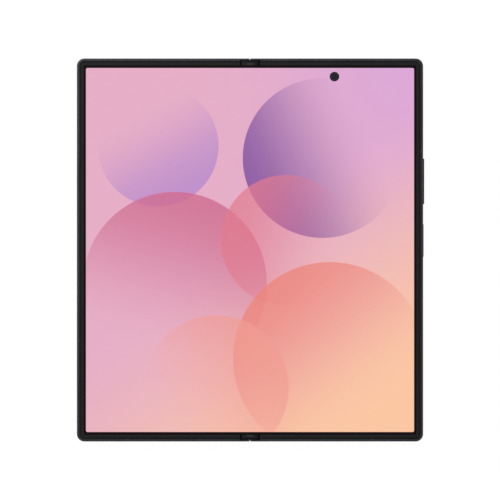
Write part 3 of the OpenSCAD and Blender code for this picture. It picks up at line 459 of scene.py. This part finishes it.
lens_low, lens_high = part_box("camera_lenses")
lens_reach = (lens_high.x - lens_low.x) / 2
lens_depth = lens_high.z - lens_low.z
chamfer = 0.04 * mm
mouth = 5.2 * mm
mouth_slope = 0.05 * mm
stack_outline = [
    (0, lens_depth),
    (lens_reach, lens_depth),
    (lens_reach, chamfer),
    (lens_reach - chamfer, 0),
    (mouth, 0),
    (mouth - mouth_slope, 0.1 * mm),
    (4.6 * mm, 0.12 * mm),
    (4.55 * mm, 0.2 * mm),
    (4.0 * mm, 0.22 * mm),
    (3.95 * mm, 0.3 * mm),
    (3.2 * mm, 0.33 * mm),
    (2.6 * mm, 0.36 * mm),
    (2.45 * mm, 0.26 * mm),
    (2.0 * mm, 0.17 * mm),
    (1.4 * mm, 0.11 * mm),
    (0.7 * mm, 0.075 * mm),
    (0, 0.065 * mm),
]

glass_rim = 2.62 * mm
glass_blur = 0.06 * mm
heart_reach = 2.3 * mm
heart_full = 0.5 * mm
optics, shader, place = new_finish("Coated_glass_and_black_baffles", IOR=1.7, Coat_Weight=1.0,
                                   Coat_Roughness=0.02)
axes = add(optics, "SeparateXYZ", place).node.outputs
from_axis = from_ring_axis(optics, axes)
element = add(optics, "MapRange", from_axis, glass_rim, glass_rim - glass_blur)
heart = add(optics, "MapRange", from_axis, heart_reach, heart_full,
            interpolation_type="SMOOTHSTEP")
coating = add(optics, "Mix", heart, "#1c1440", "#04202a", data_type="RGBA")
tilt = add(optics, "TexNoise", place, Scale=1 / (3 * mm), Detail=1)
blush = add(optics, "MapRange", tilt, 0.45, 0.75, 0, 0.6)
coating = add(optics, "Mix", blush, coating, "#3a1038", data_type="RGBA")
baffle_at = add(optics, "CombineXYZ", X=from_axis)
baffle = add(optics, "TexNoise", baffle_at, Scale=1 / (0.1 * mm), Detail=2)
black = toned(optics, baffle, "#08080a", "#141416")
rim_ink = add(optics, "MapRange", from_axis, mouth - mouth_slope, mouth)
black = add(optics, "Mix", rim_ink, black, "#060607", data_type="RGBA")
feed(
    optics,
    shader,
    Base_Color=add(optics, "Mix", element, black, coating, data_type="RGBA"),
    Roughness=add(optics, "MapRange", element, 0, 1, 0.34, 0.04),
)

first_stack = spun("rear_lens_1", stack_outline)
first_stack.data.materials.append(optics)
stacks = [first_stack]
for number in (2, 3):
    stack = first_stack.copy()
    stack.data = first_stack.data.copy()
    stack.name = "rear_lens_" + str(number)
    stack.data.name = stack.name
    bpy.context.scene.collection.objects.link(stack)
    stacks.append(stack)
for stack, step in zip(stacks, (-1, 0, 1)):
    centre = (ring_mid.x, ring_mid.y + step * ring_pitch, lens_low.z)
    stack.data.transform(Matrix.Translation(centre))
    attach(stack, "main_half")
    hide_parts("camera_lenses")


# Flash window beside the island: a moulded lens with rings on its face that spread the light.
# Milky glass with the warm phosphor of the lamp showing through its middle. Each ring is
# painted lighter towards its crest and darker in its groove, as highlight and shade.

flash_low, flash_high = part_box("flash_window")
flash_mid = (flash_low + flash_high) / 2
ring_width = 0.12 * mm
ring_depth = 0.05 * mm
lamp_reach = 1.5 * mm
lamp_heart = 0.9 * mm
phosphor, shader, place = new_finish("Ringed_flash_lens", Roughness=0.16, Coat_Weight=0.5,
                                     Coat_Roughness=0.05)
from_axis = add(phosphor, "VectorMath", place, flash_mid, operation="DISTANCE")
rings = add(phosphor, "Math", from_axis, ring_width, operation="PINGPONG")
crest = add(phosphor, "MapRange", rings, 0, ring_width)
# Painted highlight and shade: each ring's crest gets the lighter milk, its groove the darker.
milk_and_crest_highlight = add(phosphor, "Mix", crest, "#b9b7ae", "#dedbd0", data_type="RGBA")
lamp = add(phosphor, "MapRange", from_axis, lamp_reach, lamp_heart,
           interpolation_type="SMOOTHSTEP")
feed(
    phosphor,
    shader,
    Base_Color=add(phosphor, "Mix", lamp, milk_and_crest_highlight, "#ead98e", data_type="RGBA"),
    Normal=add(phosphor, "Bump", Height=crest, Distance=ring_depth, Strength=0.8),
)
finish(phosphor, "flash_window")


# The inner screen: one lit organic display that runs over both rigid panels and the soft strip,
# under a hard film whose anti-reflective layer keeps the black printed border dark. Its picture
# is made up of large overlapping round petals, in pinks, violets and corals.

lit_half = Vector((67.82 * mm, 75.25 * mm, 0))
lit_corner = 0.7 * mm
lit_blur = 0.03 * mm
eye_place = Vector((34.92 * mm, 71.69 * mm, 0))
eye_ring = 1.98 * mm
eye_blur = 0.02 * mm
petal_blur = 0.12


def petal(material, flat, under, centre, radius, tint, turn, start, end, share):
    """Lays a round petal over a colour: full at start and gone at end, along the turn angle."""
    lean = (math.cos(math.radians(turn)), math.sin(math.radians(turn)), 0)
    middle = (centre[0] * mm, centre[1] * mm, 0)
    away = add(material, "VectorMath", flat, middle, operation="SUBTRACT")
    reach = add(material, "VectorMath", away, operation="LENGTH")
    mask = add(material, "MapRange", reach, (radius + petal_blur) * mm,
               (radius - petal_blur) * mm)
    slope = add(material, "VectorMath", away, lean, operation="DOT_PRODUCT")
    fade = add(material, "MapRange", slope, end * radius * mm, start * radius * mm, 0, share,
               interpolation_type="SMOOTHSTEP")
    cover = add(material, "Math", mask, fade, operation="MULTIPLY")
    return add(material, "Mix", cover, under, tint, data_type="RGBA")


def picture(material, place):
    """The lit picture with its black border, as a colour for each place on the open screen."""
    flat = add(material, "VectorMath", place, (1, 1, 0), operation="MULTIPLY")
    axes = add(material, "SeparateXYZ", flat).node.outputs
    right = add(material, "MapRange", axes["X"], -30 * mm, 68 * mm,
                interpolation_type="SMOOTHSTEP")
    high = add(material, "MapRange", axes["Y"], -20 * mm, 75 * mm,
               interpolation_type="SMOOTHSTEP")
    upper_right = add(material, "Math", right, high, operation="MULTIPLY")
    paint = add(material, "Mix", upper_right, "#e6aec6", "#dca8d6", data_type="RGBA")
    rightward = add(material, "Math", axes["X"], 0.62, operation="MULTIPLY")
    upward = add(material, "Math", axes["Y"], 0.78, operation="MULTIPLY")
    low = add(material, "Math", rightward, upward, operation="SUBTRACT")
    lower_right = add(material, "MapRange", low, -12 * mm, 88 * mm,
                      interpolation_type="SMOOTHSTEP")
    paint = add(material, "Mix", lower_right, paint, "#fac6a2", data_type="RGBA")
    for centre, radius, tint, turn, start, end, share in (
        ((-38, 43), 25, "#b184cc", -60, 0.95, -0.75, 0.75),
        ((30, 38), 33, "#8453a2", 205, 1.0, -0.7, 0.9),
        ((-31, -14), 38, "#cf6c90", 75, 1.0, -0.8, 0.85),
        ((15, 4), 27, "#e07a8c", 160, 1.0, -0.9, 0.75),
        ((33, -45), 40, "#ec8478", 130, 1.0, -0.6, 0.8),
        ((-14, -57), 30, "#f09c92", 40, 1.0, -0.9, 0.7),
    ):
        paint = petal(material, flat, paint, centre, radius, tint, turn, start, end, share)
    past = past_corners(material, flat, lit_half.x, lit_half.y, lit_corner)
    lit = add(material, "MapRange", past, lit_corner + lit_blur, lit_corner - lit_blur)
    from_eye = add(material, "VectorMath", flat, eye_place, operation="DISTANCE")
    clear = add(material, "MapRange", from_eye, eye_ring - eye_blur, eye_ring + eye_blur)
    lit = add(material, "Math", lit, clear, operation="MULTIPLY")
    return add(material, "Mix", lit, "#0b0205", paint, data_type="RGBA")


def screen_finish(name, from_attribute):
    """The lit screen, on object coordinates or on a soft piece's own flat coordinates."""
    material, shader, place = new_finish(name, IOR=1.5, Specular_IOR_Level=0.3,
                                         Base_Color="#070506", Emission_Strength=1.0)
    if from_attribute:
        place = add(material, "Attribute", attribute_name="flat_place").node.outputs["Vector"]
    film = add(material, "TexNoise", place, Scale=1 / (16 * mm), Detail=2)
    feed(
        material,
        shader,
        Emission_Color=picture(material, place),
        Roughness=add(material, "MapRange", film, 0.3, 0.7, 0.17, 0.19),
    )
    return material


panel_screen = screen_finish("Lit_display_under_hard_film", False)
soft_screen = screen_finish("Lit_soft_display_under_hard_film", True)
finish(panel_screen, "main_display", "cover_display")


# The soft part of that screen, which bends over the fold: one strip of ultra-thin glass and
# film, stepped narrower between the end caps, with a shallow crease along the fold line.
# It is made as two pieces that meet at the fold.

strip_low, strip_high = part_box("flexible_display")
strip_lap = 0.045 * mm
strip_reach = strip_high.x + strip_lap
cap_reach = 4.3 * mm
narrow_y = 76.3 * mm
crease_depth = 0.03 * mm
crease_reach = 3.2 * mm
columns = 44


def soft_strip(name, side):
    """Half the strip, from the fold out to the rigid panel on one side (1 right, -1 left)."""
    bpy.ops.object.select_all(action="DESELECT")
    bpy.ops.mesh.primitive_grid_add(x_subdivisions=columns, y_subdivisions=1, size=1)
    strip = new_piece(name)
    bpy.ops.object.mode_set(mode="EDIT")
    bpy.ops.mesh.select_all(action="SELECT")
    bpy.ops.transform.resize(value=(strip_reach, strip_high.y - strip_low.y, 1))
    bpy.ops.transform.translate(value=(side * strip_reach / 2, 0, strip_high.z))
    for cut_at, facing in (
        ((0, narrow_y, 0), (0, 1, 0)),
        ((0, -narrow_y, 0), (0, 1, 0)),
        ((side * cap_reach, 0, 0), (1, 0, 0)),
    ):
        bpy.ops.mesh.select_all(action="SELECT")
        bpy.ops.mesh.bisect(plane_co=cut_at, plane_no=facing)
    bpy.ops.mesh.select_all(action="DESELECT")
    bpy.ops.mesh.select_mode(type="FACE")
    shape = bmesh.from_edit_mesh(strip.data)
    for face in shape.faces:
        middle = face.calc_center_median()
        face.select_set(abs(middle.x) < cap_reach and abs(middle.y) > narrow_y)
    bmesh.update_edit_mesh(strip.data)
    bpy.ops.mesh.delete(type="FACE")
    bpy.ops.mesh.select_mode(type="VERT")
    shape = bmesh.from_edit_mesh(strip.data)
    for corner in shape.verts:
        reach = min(abs(corner.co.x) / crease_reach, 1)
        corner.co.z -= crease_depth * (0.5 + 0.5 * math.cos(math.pi * reach))
    bmesh.update_edit_mesh(strip.data)
    bpy.ops.object.mode_set(mode="OBJECT")
    wall = strip.modifiers.new("Wall", "SOLIDIFY")
    wall.thickness = strip_high.z - strip_low.z
    wall.offset = -1
    bpy.ops.object.modifier_apply(modifier=wall.name)
    bpy.ops.object.shade_smooth_by_angle(angle=math.radians(30))
    flat = strip.data.attributes.new("flat_place", "FLOAT_VECTOR", "POINT")
    for corner in strip.data.vertices:
        flat.data[corner.index].vector = (corner.co.x, corner.co.y, 0)
    strip.data.materials.append(soft_screen)
    return strip


soft_main = soft_strip("soft_display_main_side", 1)
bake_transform(soft_main)
soft_cover = soft_strip("soft_display_cover_side", -1)
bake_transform(soft_cover)
for strip in (soft_main, soft_cover):
    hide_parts("flexible_display")


# Inner camera: it looks through the round hole in the right half's screen. A black mask with
# a domed lens in its middle, so small that only its glint shows; that glint is a painted
# highlight, a lighter bluish spot in the lens's middle. The outer and rear camera modules are
# blackened alike.

pupil_reach = 0.95 * mm
pupil_heart = 0.4 * mm
lens_rim = 1.0 * mm
lens_blur = 0.06 * mm
mask_finish, shader, place = new_finish("Blackened_inner_camera", IOR=1.6, Coat_Weight=0.8,
                                        Coat_Roughness=0.03)
from_axis = from_upright(mask_finish, place, eye_place)
# Painted glint: the lens's middle is mixed to a lighter blue.
pupil_glint = add(mask_finish, "MapRange", from_axis, pupil_reach, pupil_heart,
            interpolation_type="SMOOTHSTEP")
past_lens = add(mask_finish, "MapRange", from_axis, lens_rim, lens_rim + lens_blur)
eye_tone = add(mask_finish, "Mix", past_lens, "#0b0910", "#17141c", data_type="RGBA")
feed(
    mask_finish,
    shader,
    Base_Color=add(mask_finish, "Mix", pupil_glint, eye_tone, "#1a1c34", data_type="RGBA"),
    Roughness=add(mask_finish, "MapRange", past_lens, 0, 1, 0.05, 0.3),
)
finish(mask_finish, "inner_camera", "cover_camera", "rear_camera_modules")


# Charging socket at the bottom edge: a drawn steel shell with a black plastic tongue in it, and
# a row of gold-plated contacts on each face of the tongue, modelled once and copied.

socket_low, socket_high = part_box("usb_c_socket")
socket_mid = (socket_low + socket_high) / 2
tongue_half = Vector((3.35 * mm, 0, 0.35 * mm))
tongue_skin = 0.04 * mm
draw_width = 0.08 * mm
draw_depth = 0.003 * mm

steel, shader, place = new_finish("Drawn_stainless_steel_and_moulded_tongue")
off_middle = add(steel, "VectorMath", place, socket_mid, operation="SUBTRACT")
off_middle = add(steel, "VectorMath", off_middle, operation="ABSOLUTE")
axes = add(steel, "SeparateXYZ", off_middle).node.outputs
narrow = add(steel, "Math", axes["X"], tongue_half.x + tongue_skin, operation="LESS_THAN")
thin = add(steel, "Math", axes["Z"], tongue_half.z + tongue_skin, operation="LESS_THAN")
tongue = add(steel, "Math", narrow, thin, operation="MULTIPLY")
shell = add(steel, "Math", 1.0, tongue, operation="SUBTRACT")
along_draw = add(steel, "Mapping", place, Scale=(1, 0.08, 1))
drawn = add(steel, "TexNoise", along_draw, Scale=1 / draw_width, Detail=3)
shell_tone = toned(steel, drawn, "#77787c", "#9a9ba0")
shell_gloss = add(steel, "MapRange", drawn, 0.3, 0.7, 0.22, 0.36)
tongue_gloss = add(steel, "Math", tongue, 0.22, operation="MULTIPLY")
feed(
    steel,
    shader,
    Base_Color=add(steel, "Mix", tongue, shell_tone, "#161617", data_type="RGBA"),
    Metallic=add(steel, "Math", shell, 0.95, operation="MULTIPLY"),
    Roughness=add(steel, "Math", shell_gloss, tongue_gloss, operation="ADD"),
    Normal=add(steel, "Bump", Height=drawn, Distance=draw_depth, Strength=0.4),
)
finish(steel, "usb_c_socket")

gold = grained("Gold_plated_contact", 0.2 * mm, "#c99a45", "#e3bd6a", detail=2,
               stretch=(1, 0.3, 1), Metallic=1.0, Roughness=0.22)
contact_size = (0.25 * mm, 2.6 * mm, 0.05 * mm)
contact_edge = 0.012 * mm
contact_in = 2.2 * mm
contact_lift = 0.005 * mm
contact_pitch = 0.5 * mm
contacts_a_side = 12

bpy.ops.object.select_all(action="DESELECT")
bpy.ops.mesh.primitive_cube_add(size=1)
contact = new_piece("socket_contacts")
bpy.ops.object.mode_set(mode="EDIT")
bpy.ops.mesh.select_all(action="SELECT")
bpy.ops.transform.resize(value=contact_size)
bpy.ops.mesh.bevel(offset=contact_edge, segments=2, affect="EDGES")
bpy.ops.mesh.select_all(action="SELECT")
bpy.ops.transform.translate(value=(0, socket_low.y + contact_in, socket_mid.z))
bpy.ops.object.mode_set(mode="OBJECT")
single = contact.data.copy()
shape = bmesh.new()
for tongue_face in (-1, 1):
    for i in range(contacts_a_side):
        shape.from_mesh(single)
        shape.verts.ensure_lookup_table()
        newest = shape.verts[-len(single.vertices) :]
        across = socket_mid.x + (i - (contacts_a_side - 1) / 2) * contact_pitch
        up = tongue_face * (tongue_half.z + contact_lift)
        bmesh.ops.translate(shape, verts=newest, vec=(across, 0, up))
shape.to_mesh(contact.data)
shape.free()
contact.data.materials.append(gold)
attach(contact, "main_half")


# Speaker meshes: a strip of woven steel cloth behind each row of sound holes keeps dust out.
# The wires are real threads that pass over and under each other, woven in one strip, and are
# drawn about twice as coarse as real ones.

cloth = grained("Woven_blackened_steel", 0.3 * mm, "#131315", "#2a2a2d", detail=2,
                Metallic=0.7, Roughness=0.45)
cloth_width = 6.6 * mm
cloth_height = 1.3 * mm
wire_pitch = 0.13 * mm
wire_width = 0.022 * mm
loudspeaker_row = Vector((45.2 * mm, -76.85 * mm, 4.7 * mm))
earpiece_row = Vector((-48.2 * mm, 76.85 * mm, 4.7 * mm))


def thread(shape, number, upright, centre):
    """Adds one square wire of the weave, waving over and under those that it crosses."""
    run, span = (cloth_height, cloth_width) if upright else (cloth_width, cloth_height)
    place_across = (number + 0.5) * wire_pitch - span / 2
    steps = int(run / wire_pitch) * 2
    rows = []
    for j in range(steps + 1):
        place_along = j / steps * run - run / 2
        wave = wire_width * 0.5 * math.cos(math.pi * (j / 2 + number + (1 if upright else 0)))
        row = []
        for k in range(4):
            turn = math.tau * (k + 0.5) / 4
            across = place_across + wire_width * 0.5 * math.cos(turn)
            out = wave + wire_width * 0.5 * math.sin(turn)
            x, z = (across, place_along) if upright else (place_along, across)
            row.append(shape.verts.new(centre + Vector((x, out, z))))
        rows.append(row)
    for one, two in zip(rows, rows[1:]):
        for k in range(4):
            shape.faces.new((one[k], one[(k + 1) % 4], two[(k + 1) % 4], two[k]))
    shape.faces.new(rows[0])
    shape.faces.new(rows[-1])


def woven_strip(name, centre, body):
    """A woven strip standing across the phone's edge, behind one row of holes."""
    shape = bmesh.new()
    for upright, span in ((False, cloth_height), (True, cloth_width)):
        for number in range(int(span / wire_pitch)):
            thread(shape, number, upright, centre)
    bpy.ops.object.select_all(action="DESELECT")
    bpy.ops.mesh.primitive_plane_add(size=1)
    strip = new_piece(name)
    shape.to_mesh(strip.data)
    shape.free()
    bpy.ops.object.mode_set(mode="EDIT")
    bpy.ops.mesh.select_all(action="SELECT")
    bpy.ops.mesh.normals_make_consistent(inside=False)
    bpy.ops.object.mode_set(mode="OBJECT")
    strip.data.materials.append(cloth)
    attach(strip, body)


woven_strip("loudspeaker_mesh", loudspeaker_row, "main_half")
woven_strip("earpiece_mesh", earpiece_row, "cover_half")


# Hinge: arms, bases, idler gears, cams, springs, wings and screws, in sintered, drawn and rolled
# steels, oiled, bare or plated. They show only when the back glass or the screen comes off. The
# closing magnets are plated like the screws.

pore_width = 0.07 * mm
pore_depth = 0.004 * mm
oil_width = 3 * mm
sintered, shader, place = new_finish("Sintered_hinge_steel", Metallic=0.9)
pores = add(sintered, "TexNoise", place, Scale=1 / pore_width, Detail=3)
oil = add(sintered, "TexNoise", place, Scale=1 / oil_width, Detail=2)
feed(
    sintered,
    shader,
    Base_Color=toned(sintered, pores, "#5d5e62", "#7c7d82", 0.35, 0.7),
    Roughness=add(sintered, "MapRange", oil, 0.35, 0.65, 0.2, 0.42),
    Normal=add(sintered, "Bump", Height=pores, Distance=pore_depth, Strength=0.5),
)
finish(sintered, "main_hinge_arms", "cover_hinge_arms", "hinge_bases", "main_idler_shafts",
       "cover_idler_shafts", "cam_followers")

spring_steel = grained("Drawn_spring_wire", 0.05 * mm, "#808186", "#a4a5aa", detail=2,
                       rough=(0.2, 0.34), Metallic=0.95)
finish(spring_steel, "torque_springs")

rolled = grained("Rolled_wing_plate_steel", 0.1 * mm, "#66676b", "#85868b",
                 stretch=(1, 0.05, 1), rough=(0.3, 0.44), Metallic=0.9)
finish(rolled, "main_support_wing", "cover_support_wing")

zinc = grained("Zinc_plated_screw_steel", 0.15 * mm, "#8e9096", "#b0b2b8", rough=(0.22, 0.36),
               Metallic=0.95)
finish(zinc, "main_arm_screws", "cover_arm_screws", "hinge_base_screws", "main_magnets",
       "cover_magnets")


# Batteries: flat cells in pouches of aluminium laminate with a nylon skin. The skin is slightly
# puckered, because the pouch is sealed under vacuum.

pouch = grained("Laminated_battery_pouch", 4 * mm, "#2a2c30", "#3a3c41", relief=0.05 * mm,
                Metallic=0.25, Roughness=0.4)
finish(pouch, "main_battery", "cover_battery")


# Wireless charging coil: enamelled copper wire wound flat and bonded turn to turn, so its face
# is a set of rings that catch the light one by one. That light is painted: each turn is mixed
# lighter on its crest and darker between turns, as highlight and shade.

coil_low, coil_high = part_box("charging_coil")
coil_mid = (coil_low + coil_high) / 2
wire_half = 0.3 * mm
wire_relief = 0.1 * mm
enamel, shader, place = new_finish("Enamelled_copper_winding", Metallic=0.85, Roughness=0.3,
                                   Coat_Weight=0.4)
from_axis = add(enamel, "VectorMath", place, coil_mid, operation="DISTANCE")
# Painted highlight and shade: the colour follows each turn, light on its crest, dark between.
turns = add(enamel, "Math", from_axis, wire_half, operation="PINGPONG")
turns = add(enamel, "MapRange", turns, 0, wire_half)
feed(
    enamel,
    shader,
    Base_Color=add(enamel, "Mix", turns, "#5e2f17", "#b9683a", data_type="RGBA"),
    Normal=add(enamel, "Bump", Height=turns, Distance=wire_relief, Strength=0.7),
)
finish(enamel, "charging_coil")


# Circuit boards with their shield cans: green solder mask over copper, whose tracks show as
# a faint relief.

track_length = 2.4 * mm
track_relief = 0.03 * mm
mask_green, shader, place = new_finish("Solder_mask_over_copper", Roughness=0.35,
                                       Coat_Weight=0.4, Coat_Roughness=0.15)
tracks = add(mask_green, "TexBrick", place, Scale=1 / track_length, Mortar_Size=0.06)
tracks = tracks.node.outputs["Fac"]
faint = add(mask_green, "Math", tracks, 0.5, operation="MULTIPLY")
speckle = add(mask_green, "TexNoise", place, Scale=1 / (0.5 * mm), Detail=2)
board_tone = toned(mask_green, speckle, "#17452f", "#1f5a3c")
feed(
    mask_green,
    shader,
    Base_Color=add(mask_green, "Mix", faint, board_tone, "#3c8a5d", data_type="RGBA"),
    Normal=add(mask_green, "Bump", Height=tracks, Distance=track_relief, Strength=0.5),
)
finish(mask_green, "main_board", "sub_board", "cover_board")


# Sealed modules: loudspeaker, earpiece, vibration motor, key switches and the outer screen's
# panel are all in black moulded or taped housings.

moulded = grained("Moulded_black_housing", 0.2 * mm, "#1f2023", "#2c2d30", relief=0.01 * mm,
                  Roughness=0.55)
finish(moulded, "loudspeaker", "earpiece_speaker", "vibration_motor", "key_switches",
       "cover_screen_panel")


# The table: a matt white sheet that the camera and the gloss parts see as white, and that
# still takes the phone's soft shadow.


def seen_rays(material):
    """1 for rays that come from the camera, off gloss or through glass, and 0 for the rest."""
    rays = add(material, "LightPath").node.outputs
    seen = add(material, "Math", rays["Is Camera Ray"], rays["Is Glossy Ray"],
               operation="MAXIMUM")
    return add(material, "Math", seen, rays["Is Transmission Ray"], operation="MAXIMUM")


bpy.ops.object.select_all(action="DESELECT")
bpy.ops.mesh.primitive_plane_add(size=24)
table = new_piece("white_table")
paper = bpy.data.materials.new("White_table")
paper.use_nodes = True
paper.node_tree.nodes.clear()
matt = add(paper, "BsdfDiffuse", (0.82, 0.82, 0.82, 1))
white = add(paper, "Emission", "#ffffff", 1.06)
white_share = add(paper, "Math", seen_rays(paper), 0.9, operation="MULTIPLY")
add(paper, "OutputMaterial", add(paper, "MixShader", white_share, matt, white))
table.data.materials.append(paper)


# Studio: white all round at table height and dim overhead, as in a light tent with its top
# open, one large soft lamp at the upper left and a weak one at the lower right.

tent = bpy.data.worlds.new("Light_tent")
bpy.context.scene.world = tent
tent.use_nodes = True
tent.node_tree.nodes.clear()
seen = seen_rays(tent)
unseen = add(tent, "Math", 1.0, seen, operation="SUBTRACT")
axes = add(tent, "SeparateXYZ", add(tent, "TexCoord")).node.outputs
wall = add(tent, "MapRange", axes["Z"], 0.45, 0.9, 1.0, 0.16, interpolation_type="SMOOTHSTEP")
shown = add(tent, "Math", seen, wall, operation="MULTIPLY")
fill = add(tent, "Math", unseen, 0.5, operation="MULTIPLY")
strength = add(tent, "Math", shown, fill, operation="ADD")
add(tent, "OutputWorld", add(tent, "Background", "#ffffff", strength))


def soft_lamp(name, place, size, power):
    """A square lamp that looks at the middle of the phone."""
    data = bpy.data.lights.new(name, "AREA")
    data.shape = "SQUARE"
    data.size = size
    data.energy = power
    lamp = bpy.data.objects.new(name, data)
    lamp.location = place
    lamp.rotation_euler = (-Vector(place)).to_track_quat("-Z", "Y").to_euler()
    bpy.context.scene.collection.objects.link(lamp)


soft_lamp("soft_lamp_upper_left", (-0.52, 0.52, 1.05), 0.5, 7.5)
soft_lamp("soft_lamp_lower_right", (0.6, -0.45, 1.1), 0.4, 0.45)


# Camera: square above the open phone, far enough off that both halves look flat. The picture
# is 206.7 mm wide at the height of the screen.

distance = 2.0
picture_width = 206.7 * mm
screen_height = 6.8 * mm
camera_data = bpy.data.cameras.new("camera")
camera_data.sensor_width = 36
camera_data.lens = camera_data.sensor_width * distance / picture_width
camera_data.clip_start = 0.05
camera_data.clip_end = 60
camera = bpy.data.objects.new("camera", camera_data)
camera.location = (0, 0, distance + screen_height)
bpy.context.scene.collection.objects.link(camera)
bpy.context.scene.camera = camera
bpy.context.scene.view_settings.view_transform = "Standard"
